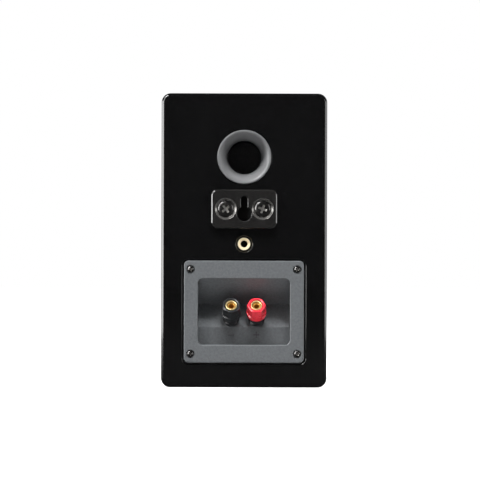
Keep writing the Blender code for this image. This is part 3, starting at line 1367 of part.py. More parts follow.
def make_grille():
    """The grille's frame, with its bar and pegs, and the cloth stretched over it."""
    width = CABINET_WIDTH - 2 * GRILLE_INSET - 2 * (CLOTH_THICKNESS + GAP)
    height = CABINET_HEIGHT - 2 * GRILLE_INSET - 2 * (CLOTH_THICKNESS + GAP)
    corner = GRILLE_CORNER - CLOTH_THICKNESS
    rear, front = FRONT_Y - GAP, FRONT_Y - GRILLE_DEPTH + CLOTH_THICKNESS + GAP
    middle = (0, 0, CABINET_HEIGHT / 2)
    size = (width, height, corner)
    sections = [(rounded(*size), rear), *edge_sections(*size, GRILLE_EDGE, front, 1)]
    frame = stacked("grille_frame", sections, "black_plastic", middle)
    bar_z = (WOOFER_Z + WOOFER_RADIUS + TWEETER_Z - TWEETER_RADIUS) / 2
    inner_width = width - 2 * GRILLE_RIM
    top = (CABINET_HEIGHT + height) / 2 - GRILLE_RIM
    base = CABINET_HEIGHT - top
    openings = [
        grille_window("grille_window_low", inner_width, base, bar_z - GRILLE_BAR / 2, rear, front),
        grille_window("grille_window_high", inner_width, bar_z + GRILLE_BAR / 2, top, rear, front),
    ]
    combine(frame, openings)
    root, tip = -GAP - GRILLE_RIM / 2, PEG_LENGTH
    radius, bevel = PEG_RADIUS, PEG_BEVEL
    peg = [(0, root), (radius, root), (radius, tip - bevel), (radius - bevel, tip), (0, tip)]
    pegs = [turned(f"peg_{k}", peg, None, at, steps=STEPS_SCREW) for k, at in enumerate(peg_places())]
    combine(frame, pegs, "UNION")
    make_cloth(middle)


def grille_window(name, width, low, high, rear, front):
    """A cutter for one opening of the grille's frame, with wide corner gussets for the pegs."""
    sections = box_sections(width, high - low, GRILLE_GUSSET_RADIUS, front - OVERCUT, rear + OVERCUT)
    return stacked(name, sections, None, (0, 0, (high + low) / 2))


def make_cloth(middle):
    """The cloth: a thin skin over the frame's front and sides."""
    width, height = CABINET_WIDTH - 2 * GRILLE_INSET, CABINET_HEIGHT - 2 * GRILLE_INSET
    rear, front = FRONT_Y - GAP, FRONT_Y - GRILLE_DEPTH
    outer = [(rounded(width, height, GRILLE_CORNER), rear),
             *edge_sections(width, height, GRILLE_CORNER, GRILLE_EDGE, front, 1)]
    cloth = stacked("grille_cloth", outer, "cloth", middle)
    size = (width - 2 * CLOTH_THICKNESS, height - 2 * CLOTH_THICKNESS, GRILLE_CORNER - CLOTH_THICKNESS)
    inner = [
        (rounded(*size), rear + OVERCUT),
        *edge_sections(*size, GRILLE_EDGE - GAP, front + CLOTH_THICKNESS, 1),
    ]
    return combine(cloth, [stacked("cloth_inside", inner, None, middle)])


for startup_object in list(bpy.data.objects):
    bpy.data.objects.remove(startup_object)
FINISHES = make_materials()
make_shell()
make_baffle()
make_brace()
make_wadding()
make_port_flare()
make_port_tube()
make_bracket()
make_bracket_screws()
make_insert()
make_cup()
make_gasket()
make_cup_screws()
for post_colour, post_at in post_places().items():
    knob_spin = math.pi / 6 if post_colour == "black" else 0
    make_post(post_colour, post_at, f"{post_colour}_plastic", knob_spin)
make_basket()
make_woofer_soft_parts()
make_cone()
make_woofer_motor()
make_woofer_screws()
make_faceplate()
make_dome()
make_tweeter_motor()
make_diffuser()
make_tweeter_screws()
make_crossover()
make_leads()
make_grille()
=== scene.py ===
"""The looks of a gloss bookshelf speaker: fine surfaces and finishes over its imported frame.

Metres, +Z up, the front faces -Y and the back faces +Y. Outlines lie in the X-Z plane and are
carried along Y; turned pieces are profiles of (radius, height) spun about an axis.
"""

import math

import bmesh
import bpy
import numpy as np
from bpy.props import FloatProperty, FloatVectorProperty, IntProperty
from mathutils import Euler, Matrix, Vector
from mathutils.geometry import delaunay_2d_cdt


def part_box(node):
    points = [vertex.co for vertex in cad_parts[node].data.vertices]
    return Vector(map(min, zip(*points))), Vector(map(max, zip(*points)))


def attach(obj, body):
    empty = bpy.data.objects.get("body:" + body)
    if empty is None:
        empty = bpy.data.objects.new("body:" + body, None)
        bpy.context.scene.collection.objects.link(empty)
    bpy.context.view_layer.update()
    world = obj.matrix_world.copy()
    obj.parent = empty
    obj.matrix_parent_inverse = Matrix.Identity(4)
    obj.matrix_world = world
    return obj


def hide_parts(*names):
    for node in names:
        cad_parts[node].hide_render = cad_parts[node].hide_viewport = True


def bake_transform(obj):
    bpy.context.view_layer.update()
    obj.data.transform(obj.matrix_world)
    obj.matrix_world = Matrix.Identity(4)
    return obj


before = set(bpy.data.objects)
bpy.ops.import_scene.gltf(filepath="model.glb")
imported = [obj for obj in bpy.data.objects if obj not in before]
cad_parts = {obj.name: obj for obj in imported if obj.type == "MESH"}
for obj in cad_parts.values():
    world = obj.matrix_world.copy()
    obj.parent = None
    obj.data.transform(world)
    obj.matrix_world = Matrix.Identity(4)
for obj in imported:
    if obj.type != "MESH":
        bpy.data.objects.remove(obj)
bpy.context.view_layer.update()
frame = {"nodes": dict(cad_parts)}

bl_info = {
    "name": "Bookshelf Speaker",
    "version": (1, 0, 0),
    "blender": (4, 5, 0),
    "location": "View3D > Sidebar > Speaker",
    "description": "Builds the fine surfaces and finishes of a gloss bookshelf speaker",
    "category": "Add Mesh",
}

TURN = 2 * np.pi
GAP = 0.0003


def low(node):
    """Lowest corner of a CAD node's box."""
    return Vector(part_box(node)[0])


def high(node):
    """Highest corner of a CAD node's box."""
    return Vector(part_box(node)[1])


def centre(node):
    """Middle of a CAD node's box."""
    return (low(node) + high(node)) / 2


WIDTH = high("cabinet_shell").x - low("cabinet_shell").x
HEIGHT = high("cabinet_shell").z
MIDDLE = HEIGHT / 2
REAR = high("cabinet_shell").y
SHELL_FRONT = low("cabinet_shell").y
FRONT = low("front_baffle").y
PORT = centre("port_flare")
BRACKET = centre("keyhole_bracket")
INSERT = centre("threaded_insert")
CUP = centre("terminal_cup")
CUP_FACE = high("terminal_cup").y
WOOFER = centre("woofer_basket")
TWEETER = centre("tweeter_faceplate")
CUP_SIZE = high("terminal_cup") - low("terminal_cup")
POST_AXIS = np.array([0.0, math.cos(math.radians(35)), math.sin(math.radians(35))])
CUP_CORNERS = ("top_left", "top_right", "base_left", "base_right")
SIDE_WALL, BACK_WALL = 0.012, 0.015
CABINET_CORNER = 0.007
PEGS = [(x, z) for x in (-0.0495, 0.0495) for z in (0.013, HEIGHT - 0.013)]
CLOTH_INSET, FRAME_INSET = 0.0045, 0.0055
SHELF_DEPTH, SEAT_HEIGHT, LIP_DEPTH = 0.0137, 0.0170, 0.0015


# Outlines: each gives a function of how far it is grown, whose points run anticlockwise.

def round_outline(x, z, radius, count=96):
    """Centre plus (radius + growth) times (cos t, sin t)."""
    t = np.linspace(0, TURN, count, endpoint=False)
    way = np.stack([np.cos(t), np.sin(t)], 1)
    return lambda grow=0.0: np.array([x, z]) + (radius + grow) * way


def box_outline(x, z, width, height, radius, steps=8):
    """A quarter turn of (radius + growth) round each of four corner centres."""
    t = np.linspace(0, np.pi / 2, steps + 1)
    angle = (t + np.arange(4)[:, None] * np.pi / 2).ravel()
    side = np.repeat([1, -1, -1, 1], steps + 1)
    up = np.repeat([1, 1, -1, -1], steps + 1)
    corner = np.stack([x + side * (width / 2 - radius), z + up * (height / 2 - radius)], 1)
    way = np.stack([np.cos(angle), np.sin(angle)], 1)
    return lambda grow=0.0: corner + (radius + grow) * way


def keyhole_outline(x, z, radius, slot, reach, steps=40):
    """A circle open at the top, joined to the half circle that ends a slot above it."""
    def at(grow=0.0):
        hole, half = radius + grow, slot / 2 + grow
        neck = math.asin(half / hole)
        t = np.linspace(np.pi / 2 + neck, np.pi / 2 - neck + TURN, steps)
        s = np.linspace(0, np.pi, steps // 2)
        circle = np.stack([x + hole * np.cos(t), z + hole * np.sin(t)], 1)
        end = np.stack([x + half * np.cos(s), z + reach - slot / 2 + half * np.sin(s)], 1)
        return np.concatenate([circle, end])
    return at


def eased(points, radius, steps=4, closed=False):
    """Each corner P of a line becomes (1-s)^2 A + 2s(1-s) P + s^2 B, with A and B on its two sides."""
    points = np.asarray(points, float)
    before, after = np.roll(points, 1, 0), np.roll(points, -1, 0)
    to_before, to_after = before - points, after - points
    long_before = np.linalg.norm(to_before, axis=1, keepdims=True) + 1e-12
    long_after = np.linalg.norm(to_after, axis=1, keepdims=True) + 1e-12
    a = points + to_before * np.minimum(radius / long_before, 0.45)
    b = points + to_after * np.minimum(radius / long_after, 0.45)
    s = np.linspace(0, 1, steps + 1)[:, None, None]
    curve = ((1 - s) ** 2 * a + 2 * s * (1 - s) * points + s ** 2 * b).transpose(1, 0, 2)
    if closed:
        return curve.reshape(-1, 2)
    return np.concatenate([points[:1], curve[1:-1].reshape(-1, 2), points[-1:]])


# Patches: (vertices, faces, finish number). A triangle repeats its last corner.

def raised(points, y):
    """Plane points (x, z) as (x, y, z)."""
    return np.stack([points[:, 0], np.broadcast_to(y, len(points)), points[:, 1]], 1)


def grid(points, finish=0, wrap=(False, False)):
    """Quads between the neighbours of a (rows, columns, 3) array, closed where wrap says so."""
    rows, columns = points.shape[:2]
    index = np.arange(rows * columns).reshape(rows, columns)
    if wrap[0]:
        index = np.concatenate([index, index[:1]])
    if wrap[1]:
        index = np.concatenate([index, index[:, :1]], 1)
    faces = np.stack([index[:-1, :-1], index[:-1, 1:], index[1:, 1:], index[1:, :-1]], -1)
    return points.reshape(-1, 3), faces.reshape(-1, 4), finish


def band(loops, finish=0):
    """Closed loops of equal count, joined one to the next."""
    return grid(np.stack(loops), finish, (False, True))


def sweep(outline, steps, finish=0):
    """A wall: the outline grown by each step's first number and set at its second along Y."""
    return band([raised(outline(grow), y) for grow, y in steps], finish)


def plate(outer, holes, y, finish=0, extra=None):
    """The flat region inside one outline and outside the others, in Delaunay triangles. y may be a
    function of the points."""
    loops = [outer, *holes]
    starts = np.cumsum([0, *[len(loop) for loop in loops]])
    points = np.concatenate(loops if extra is None else [*loops, extra])
    edges = np.concatenate([
        np.stack([np.arange(len(loop)), np.roll(np.arange(len(loop)), -1)], 1) + start
        for loop, start in zip(loops, starts)
    ])
    _, _, faces, sources, *_ = delaunay_2d_cdt([Vector(p) for p in points], edges.tolist(), [], 0, 1e-8)
    found = points[[source[0] for source in sources]]
    faces = np.array([tuple(face) for face in faces])
    middle = found[faces].mean(1)
    keep = inside(middle, outer)
    for hole in holes:
        keep &= ~inside(middle, hole)
    faces = faces[keep]
    depth = y(found) if callable(y) else y
    return raised(found, depth), np.concatenate([faces, faces[:, -1:]], 1), finish


def inside(points, outline):
    """True where a ray from the point to +X crosses the outline an odd number of times."""
    x, z = points[:, :1], points[:, 1:]
    a, b = outline, np.roll(outline, -1, 0)
    spans = (a[:, 1] > z) != (b[:, 1] > z)
    rise = np.where(b[:, 1] == a[:, 1], 1e-12, b[:, 1] - a[:, 1])
    crossing = a[:, 0] + (z - a[:, 1]) * (b[:, 0] - a[:, 0]) / rise
    return (spans & (x < crossing)).sum(1) % 2 == 1


def spun(profile, count=96, finish=0, closed=True):
    """Each (radius r, height h) of a profile becomes (r cos t, r sin t, h)."""
    profile = np.asarray(profile, float)
    t = np.linspace(0, TURN, count, endpoint=False)
    r, h = profile[:, :1], profile[:, 1:]
    points = np.stack([r * np.cos(t), r * np.sin(t), h + 0 * t], -1)
    return grid(points, finish, (closed, True))


def aimed(patch, at, axis):
    """Turns a patch's local Z to an axis in the Y-Z plane and moves it to a point."""
    axis = np.asarray(axis, float)
    across = np.array([1.0, 0, 0])
    frame_of = np.stack([across, np.cross(axis, across), axis])
    return patch[0] @ frame_of + np.asarray(at, float), patch[1], patch[2]


BACKWARDS, FORWARDS = (0, 1, 0), (0, -1, 0)


def piece(name, body, slot, patches, finishes, replaces=(), sharp=38, weighted=False):
    """One closed object from patches: vertices that coincide are merged, and faces point outwards."""
    counts = np.cumsum([0, *[len(patch[0]) for patch in patches]])
    points = np.concatenate([patch[0] for patch in patches])
    faces = np.concatenate([patch[1] + start for patch, start in zip(patches, counts)])
    numbers = np.concatenate([np.full(len(patch[1]), patch[2]) for patch in patches])
    _, first, merged = np.unique(np.round(points, 6), axis=0, return_index=True, return_inverse=True)
    faces = merged.reshape(-1)[faces]
    new = np.ones(faces.shape, bool)
    for column in range(1, 4):
        new[:, column] = (faces[:, column:column + 1] != faces[:, :column]).all(1)
    size = new.sum(1)
    faces, new, numbers, size = faces[size > 2], new[size > 2], numbers[size > 2], size[size > 2]
    used, corners = np.unique(faces[new], return_inverse=True)
    mesh = bpy.data.meshes.new(name)
    mesh.vertices.add(len(used))
    mesh.vertices.foreach_set("co", points[first[used]].astype(np.float32).ravel())
    mesh.loops.add(int(size.sum()))
    mesh.loops.foreach_set("vertex_index", corners.astype(np.int32))
    mesh.polygons.add(len(size))
    mesh.polygons.foreach_set("loop_start", (np.cumsum(size) - size).astype(np.int32))
    mesh.polygons.foreach_set("loop_total", size.astype(np.int32))
    mesh.polygons.foreach_set("material_index", numbers.astype(np.int32))
    mesh.update(calc_edges=True)
    edit = bmesh.new()
    edit.from_mesh(mesh)
    bmesh.ops.recalc_face_normals(edit, faces=edit.faces)
    edit.to_mesh(mesh)
    edit.free()
    for finish in finishes:
        mesh.materials.append(finish)
    mesh.shade_smooth()
    mesh.set_sharp_from_angle(angle=math.radians(sharp))
    made = bpy.data.objects.new(name, mesh)
    bpy.context.scene.collection.objects.link(made)
    if weighted:
        flat = made.modifiers.new("Flat faces stay flat", "WEIGHTED_NORMAL")
        flat.keep_sharp = True
        flat.weight = 100
    if body:
        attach(made, body)
    if replaces:
        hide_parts(*replaces)
    return made


# Finishes

def put(tree, kind, values=(), settings=None, **named):
    """Adds a node, with its settings, and feeds its inputs by place or by name."""
    node = tree.nodes.new(kind)
    for name, value in (settings or {}).items():
        setattr(node, name, value)
    inputs = [(node.inputs[place], value) for place, value in enumerate(values) if value is not None]
    inputs += [(node.inputs[name.replace("_", " ")], value) for name, value in named.items()]
    for socket, value in inputs:
        if isinstance(value, bpy.types.NodeSocket):
            tree.links.new(value, socket)
        else:
            socket.default_value = value
    return node


def maths(tree, operation, *values):
    """A Math node's result."""
    return put(tree, "ShaderNodeMath", values, {"operation": operation}).outputs[0]


def spread(tree, value, start, end):
    """A smooth step from 0 at the range's start to 1 at its end."""
    smooth = {"interpolation_type": "SMOOTHSTEP"}
    return put(tree, "ShaderNodeMapRange", (value, start, end), smooth).outputs[0]


def group(name, inputs, outputs, wire):
    """A shader node group with named number or vector inputs. wire(tree, given) returns the outputs."""
    made = bpy.data.node_groups.get(name)
    if made:
        return made
    made = bpy.data.node_groups.new(name, "ShaderNodeTree")
    for label, value in inputs.items():
        kind = "NodeSocketVector" if value is None else "NodeSocketFloat"
        socket = made.interface.new_socket(label, in_out="INPUT", socket_type=kind)
        if value is not None:
            socket.default_value = value
    for label in outputs:
        made.interface.new_socket(label, in_out="OUTPUT", socket_type="NodeSocketFloat")
    given = made.nodes.new("NodeGroupInput").outputs
    end = made.nodes.new("NodeGroupOutput")
    for socket, value in zip(end.inputs, wire(made, given)):
        made.links.new(value, socket)
    return made


def noise(tree, place, scale, detail=3.0):
    """A noise value over the surface."""
    return put(tree, "ShaderNodeTexNoise", Vector=place, Scale=scale, Detail=detail).outputs[0]


def moulded_grain():
    """Fine pits and flecks of a moulded or painted skin."""
    def wire(tree, given):
        fine = noise(tree, given["Vector"], given["Scale"])
        coarse = noise(tree, given["Vector"], maths(tree, "MULTIPLY", given["Scale"], 0.22), 1.0)
        flecks = put(tree, "ShaderNodeTexVoronoi", Vector=given["Vector"],
                     Scale=maths(tree, "MULTIPLY", given["Scale"], 0.6)).outputs[0]
        height = maths(tree, "ADD", fine, maths(tree, "MULTIPLY", flecks, 0.5))
        tone = maths(tree, "ADD", maths(tree, "MULTIPLY", spread(tree, fine, 0.3, 0.7), 0.6),
                     maths(tree, "MULTIPLY", spread(tree, coarse, 0.3, 0.7), 0.4))
        return height, tone
    return group("Moulded grain", {"Vector": None, "Scale": 900.0}, ("Height", "Tone"), wire)


def handled():
    """Soft smudges that shift the roughness from Low to High."""
    def wire(tree, given):
        broad = noise(tree, given["Vector"], given["Scale"], 2.0)
        streaks = noise(tree, given["Vector"], maths(tree, "MULTIPLY", given["Scale"], 5.5), 4.0)
        mask = maths(tree, "MULTIPLY", spread(tree, broad, 0.35, 0.75), spread(tree, streaks, 0.2, 0.8))
        between = maths(tree, "SUBTRACT", given["High"], given["Low"])
        return (maths(tree, "MULTIPLY_ADD", mask, between, given["Low"]),)
    return group("Handled", {"Vector": None, "Scale": 18.0, "Low": 0.1, "High": 0.2}, ("Roughness",), wire)


def dust():
    """Sparse specks, more of them where the surface faces up."""
    def wire(tree, given):
        cells = put(tree, "ShaderNodeTexVoronoi", Vector=given["Vector"], Scale=420.0)
        speck = spread(tree, cells.outputs["Distance"], 0.16, 0.05)
        chance = put(tree, "ShaderNodeSeparateColor", (cells.outputs["Color"],)).outputs[0]
        up = put(tree, "ShaderNodeSeparateXYZ", (tree.nodes.new("ShaderNodeNewGeometry").outputs["Normal"],))
        share = maths(tree, "MULTIPLY_ADD", spread(tree, up.outputs[2], -0.1, 0.9), 0.10, 0.015)
        seen = maths(tree, "LESS_THAN", chance, share)
        return (maths(tree, "MULTIPLY", maths(tree, "MULTIPLY", speck, seen), given["Amount"]),)
    return group("Dust", {"Vector": None, "Amount": 0.2}, ("Mask",), wire)


def turned_rings():
    """Tool rings round an axis, or grooves along it where Along is 1."""
    def wire(tree, given):
        place = put(tree, "ShaderNodeSeparateXYZ", (given["Vector"],)).outputs
        radius = maths(tree, "SQRT", maths(tree, "ADD", maths(tree, "MULTIPLY", place[0], place[0]),
                                           maths(tree, "MULTIPLY", place[1], place[1])))
        along = maths(tree, "MULTIPLY_ADD", given["Along"], maths(tree, "SUBTRACT", place[2], radius), radius)
        turns = maths(tree, "DIVIDE", maths(tree, "MULTIPLY", along, TURN), given["Pitch"])
        height = maths(tree, "MULTIPLY_ADD", maths(tree, "SINE", turns), 0.5, 0.5)
        uneven = noise(tree, given["Vector"], 900.0)
        return height, maths(tree, "MULTIPLY", height, uneven)
    return group("Turned rings", {"Vector": None, "Pitch": 0.0004, "Along": 0.0}, ("Height", "Tone"), wire)


def weave():
    """Crossing threads of a given pitch on a flat pattern: their height, and how much they cover."""
    def wire(tree, given):
        place = put(tree, "ShaderNodeSeparateXYZ", (given["Vector"],)).outputs
        half_turns = [maths(tree, "MULTIPLY", across, np.pi) for across in (place[0], place[1])]
        turns = [maths(tree, "DIVIDE", each, given["Pitch"]) for each in half_turns]
        warp, weft = [maths(tree, "ABSOLUTE", maths(tree, "SINE", turn)) for turn in turns]
        over = maths(tree, "SINE", maths(tree, "ADD", turns[0], turns[1]))
        height = maths(tree, "ADD", maths(tree, "MAXIMUM", warp, weft), maths(tree, "MULTIPLY", over, 0.2))
        cover = spread(tree, maths(tree, "MAXIMUM", warp, weft), 0.25, 0.5)
        return height, cover
    return group("Weave", {"Vector": None, "Pitch": 0.0005}, ("Height", "Cover"), wire)


def object_place(tree, centred=None, axis=None):
    """Object coordinates, or the same moved to a centre and turned so that Z runs along an axis."""
    place = tree.nodes.new("ShaderNodeTexCoord").outputs["Object"]
    if centred is None:
        return place
    turn = Vector(axis).rotation_difference(Vector((0, 0, 1))).to_euler()
    moved = put(tree, "ShaderNodeVectorMath", (place, tuple(centred)), {"operation": "SUBTRACT"}).outputs[0]
    return put(tree, "ShaderNodeMapping", Vector=moved, Rotation=turn).outputs[0]


def finish(name, colour, roughness, metallic=0.0, grain=(900, 0.02, 0.15), smudge=(18, 0.12), dusty=0.1,
           rings=None, shader=None):
    """A Principled finish. grain is (scale, relief in mm, change of tone), smudge (scale, added
    roughness), rings (centre, axis, pitch, along, relief in mm), shader its constant sockets."""
    made = bpy.data.materials.get(name)
    if made:
        return made
    made = bpy.data.materials.new(name)
    made.use_nodes = True
    tree = made.node_tree
    principled = tree.nodes["Principled BSDF"]
    place = object_place(tree)
    skin = put(tree, "ShaderNodeGroup", (), {"node_tree": moulded_grain()}, Vector=place, Scale=grain[0])
    touched = put(tree, "ShaderNodeGroup", (), {"node_tree": handled()}, Vector=place, Scale=smudge[0],
                  Low=roughness, High=min(1.0, roughness + smudge[1]))
    specks = put(tree, "ShaderNodeGroup", (), {"node_tree": dust()}, Vector=place, Amount=dusty)
    dark = tuple(max(0.0, c * (1 - grain[2])) for c in colour)
    light = tuple(min(1.0, c * (1 + grain[2])) for c in colour)
    tone, height, relief = skin.outputs["Tone"], skin.outputs["Height"], grain[1]
    if rings:
        turned = put(tree, "ShaderNodeGroup", (), {"node_tree": turned_rings()},
                     Vector=object_place(tree, rings[0], rings[1]), Pitch=rings[2], Along=rings[3])
        tone = maths(tree, "MULTIPLY_ADD", turned.outputs["Tone"], 0.6, maths(tree, "MULTIPLY", tone, 0.4))
        height = maths(tree, "MULTIPLY_ADD", turned.outputs["Height"], rings[4] / relief, height)
    base = put(tree, "ShaderNodeMix", (), {"data_type": "RGBA"})
    dusted = put(tree, "ShaderNodeMix", (), {"data_type": "RGBA"})
    for socket, value in ((base.inputs[6], (*dark, 1)), (base.inputs[7], (*light, 1)),
                          (dusted.inputs[7], (0.30, 0.29, 0.28, 1))):
        socket.default_value = value
    tree.links.new(tone, base.inputs[0])
    tree.links.new(specks.outputs["Mask"], dusted.inputs[0])
    tree.links.new(base.outputs[2], dusted.inputs[6])
    tree.links.new(dusted.outputs[2], principled.inputs["Base Color"])
    tree.links.new(touched.outputs["Roughness"], principled.inputs["Roughness"])
    bump = put(tree, "ShaderNodeBump", Strength=1.0, Distance=relief / 1000, Height=height)
    tree.links.new(bump.outputs[0], principled.inputs["Normal"])
    principled.inputs["Metallic"].default_value = metallic
    for socket, value in (shader or {}).items():
        principled.inputs[socket].default_value = value
    return made


def dress(node, skin):
    """Gives a CAD node its finish."""
    slots = frame["nodes"][node].data.materials
    slots.clear()
    slots.append(skin)


def lacquer(colour):
    """Deep gloss lacquer: a dark base under a clear coat with the faintest ripple."""
    return finish("Gloss lacquer", colour, 0.09, grain=(260, 0.0012, 0.2), smudge=(9, 0.05), dusty=0.12,
                  shader={"Coat Weight": 0.6, "Coat Roughness": 0.03, "Coat IOR": 1.5})


def raw_board():
    """Raw fibreboard, with fibres in two tones."""
    return finish("Raw fibreboard", (0.42, 0.30, 0.18), 0.85, grain=(1400, 0.08, 0.35), dusty=0.3)


def stained_board():
    """Board stained black where a joint or a small hole would show it."""
    return finish("Stained board", (0.006, 0.005, 0.004), 0.9, grain=(1400, 0.08, 0.35))


def cabinet_finishes(gloss):
    """Lacquer outside, raw board inside and stained board in joints, as patches number them."""
    return [lacquer(gloss), raw_board(), stained_board()]


def black_steel(colour):
    """Black-painted steel."""
    return finish("Black painted steel", colour, 0.20, 0.0, (700, 0.004, 0.25), (30, 0.08), 0.25,
                  shader={"Coat Weight": 0.9, "Coat Roughness": 0.07, "Coat IOR": 1.7})


def black_zinc():
    """A screw's finishes: black zinc, and bare steel where the driver bites."""
    return [finish("Black zinc", (0.060, 0.058, 0.056), 0.20, 0.9, (1800, 0.012, 0.6), (90, 0.20), 0.3,
                   shader={"Coat Weight": 0.5, "Coat Roughness": 0.1, "Coat IOR": 1.7}),
            finish("Bitten steel", (0.50, 0.49, 0.47), 0.28, 0.9, (2400, 0.02, 0.5), (120, 0.2), 0.1)]


def gold_plate(name, at, axis, pitch=0.00035, along=1.0, colour=(0.95, 0.76, 0.38)):
    """Gold plate over turned brass, with its tool rings about an axis."""
    return finish(name, colour, 0.36, 0.85, (2400, 0.002, 0.06), (60, 0.1), 0.03,
                  (tuple(at), tuple(axis), pitch, along, 0.0015))


# Cabinet

def cabinet_outline(grow):
    """The cabinet's outline with its sides moved by grow and its corners by half as much."""
    return box_outline(0, MIDDLE, WIDTH + 2 * grow, HEIGHT + 2 * grow, CABINET_CORNER + grow / 2)()


def hole_edge(radius, face, to):
    """Steps (growth, y) of a hole's rounded arris in a rear face, down to the y where its wall ends."""
    a = np.linspace(0, np.pi / 2, 4)
    arc = [(radius * (1 - math.sin(t)), face - radius * (1 - math.cos(t))) for t in a]
    return [*arc, (0.0, to)]


def make_shell(edge, gloss):
    """The wrapped box: its outer wall rounds into the back, which has four stepped holes."""
    outer = box_outline(0, MIDDLE, WIDTH, HEIGHT, CABINET_CORNER, 10)
    inner_rear = REAR - BACK_WALL
    cavity = box_outline(0, MIDDLE, WIDTH - 2 * SIDE_WALL, HEIGHT - 2 * SIDE_WALL, 0.003, 10)
    a = np.linspace(0, np.pi / 2, 9)
    fillet = [(edge * (math.cos(t) - 1), REAR - edge * (1 - math.sin(t))) for t in a]
    port = round_outline(0, PORT.z, 0.0207, 120)
    rebate = box_outline(0, CUP.z, CUP_SIZE.x + 0.0024, CUP_SIZE.z + 0.0024, 0.0047)
    window = box_outline(0, CUP.z, 0.0749, 0.0555, 0.0067)
    insert = round_outline(INSERT.x, INSERT.z, 0.00505, 64)
    pocket = box_outline(0, BRACKET.z + 0.0002, 0.0106, 0.0186, 0.0052, 10)
    arris, port_arris = 0.0006, 0.0002
    seat, rebate_floor, bore_end, pocket_end = REAR - 0.0033, CUP_FACE - 0.0044, REAR - 0.0122, REAR - 0.006
    ledge = -0.0012
    patches = [
        sweep(outer, [(0, SHELL_FRONT), *fillet]),
        plate(outer(-edge), [port(port_arris), rebate(arris), insert(0.00165), pocket()], REAR),
        sweep(port, [*hole_edge(port_arris, REAR, seat), (ledge, seat)]),
        sweep(port, [(ledge, seat), (ledge, inner_rear)], 1),
        sweep(rebate, hole_edge(arris, REAR, rebate_floor)),
        band([raised(rebate(), rebate_floor), raised(window(), rebate_floor)]),
        band([raised(window(), rebate_floor), raised(window(), inner_rear)], 1),
        sweep(insert, [(0.00165, REAR), (0.00145, REAR - 0.00008), (0.00128, REAR - 0.0003),
                       (0.0006, REAR - 0.0013), (0, REAR - 0.0013), (0, bore_end)]),
        plate(insert(), [], bore_end, 2),
        sweep(pocket, [(0, REAR), (0, pocket_end)], 2),
        plate(pocket(), [], pocket_end, 2),
        plate(cavity(), [port(ledge), window()], inner_rear, 1),
        band([raised(cavity(), inner_rear), raised(cavity(), SHELL_FRONT)], 1),
        band([raised(cavity(), SHELL_FRONT), raised(outer(), SHELL_FRONT)], 2),
    ]
    piece("gloss_shell", "cabinet", "gloss_black", patches, cabinet_finishes(gloss), ["cabinet_shell"],
          weighted=True)


def make_baffle(chamfer, gloss):
    """The front panel: a chamfered slab with two driver seats and four peg sockets."""
    thick, rebate, peg_depth = 0.018, 0.004, 0.009
    line = eased([(-chamfer - 0.02, 0), (-chamfer, 0), (0, chamfer), (0, thick)], 0.0007)[1:]
    loops = [raised(cabinet_outline(grow), FRONT + depth) for grow, depth in line]
    holes = [(WOOFER, 0.0563, 0.0496), (TWEETER, 0.0393, 0.031)]
    patches = [band(loops)]
    seats, mouths, ends = [], [], []
    for at, radius, through in holes:
        rim = round_outline(0, at.z, radius, 160)
        back = round_outline(0, at.z, through, 160)
        edge = [(0.0003, 0), (0.0001, 0.0001), (0, 0.0003), (0, rebate)]
        seats.append(band([raised(rim(g), FRONT + y) for g, y in edge]))
        seats.append(band([raised(rim(), FRONT + rebate), raised(back(), FRONT + rebate)], 1))
        seats.append(band([raised(back(), FRONT + rebate), raised(back(), FRONT + thick)], 1))
        mouths.append(rim(0.0003))
        ends.append(back())
    for x, z in PEGS:
        socket = round_outline(x, z, 0.0037, 32)
        seats.append(sweep(socket, [(0.0004, FRONT), (0, FRONT + 0.0004), (0, FRONT + peg_depth)], 2))
        seats.append(plate(socket(), [], FRONT + peg_depth, 2))
        mouths.append(socket(0.0004))
    patches += [*seats, plate(cabinet_outline(line[0][0]), mouths, FRONT),
                plate(cabinet_outline(0), ends, FRONT + thick, 2)]
    piece("gloss_baffle", "cabinet", "gloss_black", patches, cabinet_finishes(gloss), ["front_baffle"],
          weighted=True)


# Port

def make_port(roll, colour):
    """The flared mouth: an elliptical bell that rolls over into its lip. And the tube behind it, coloured
    near black as painted shade for the dark deep inside the port.
    """
    throat, lip, proud, depth = 0.0127, 0.0204, 0.0008, 0.018
    a = np.linspace(0, np.pi / 2, 28)
    bell = np.stack([throat + (lip - roll - throat) * (1 - np.cos(a)), proud - depth + depth * np.sin(a)], 1)
    b = np.linspace(np.pi / 2, 0, 8)
    over = np.stack([lip - roll + roll * np.cos(b), proud - roll + roll * np.sin(b)], 1)
    behind = [(lip, -0.003), (0.0192, -0.003), (0.0192, -0.006), (0.017, -0.012), (0.017, -0.0272),
              (0.015, -0.0272), (0.015, -0.0192), (throat, -0.0192)]
    skin = finish("Port moulding", colour, 0.34, grain=(1500, 0.008, 0.10), smudge=(25, 0.10), dusty=0.15,
                  rings=(PORT, (0, 1, 0), 0.0006, 1.0, 0.001))
    patches = [aimed(spun([*bell, *over[1:], *behind], 144), (0, REAR, PORT.z), BACKWARDS)]
    piece("port_mouth", "cabinet", "port_plastic", patches, [skin], ["port_flare"])
    # Painted shade: the tube is near black, far darker than the flare, so the port's deep inside reads dark.
    dark = finish("Tube moulding in painted shade", (0.004, 0.004, 0.004), 0.7, grain=(1500, 0.03, 0.3), dusty=0.2)
    start, end = -0.0195, -0.076
    t = np.linspace(np.pi / 2, 0, 10)
    flare = np.stack([throat + 0.006 * (1 - np.cos(t)), end + 0.006 * (1 - np.sin(t))], 1)[::-1]
    line = [(throat, start), (0.0147, start), (0.0147, end + 0.006), (0.0187, end + 0.0012), *flare[::-1]]
    piece("port_tube", "cabinet", "port_plastic", [aimed(spun(line, 96), (0, REAR, PORT.z), BACKWARDS)],
          [dark], ["port_tube"])


# Fasteners

def dome(points, radius, height):
    """height times (1 - 0.5 (r / radius)^2)."""
    return height * (1 - 0.5 * (points ** 2).sum(1) / radius ** 2)


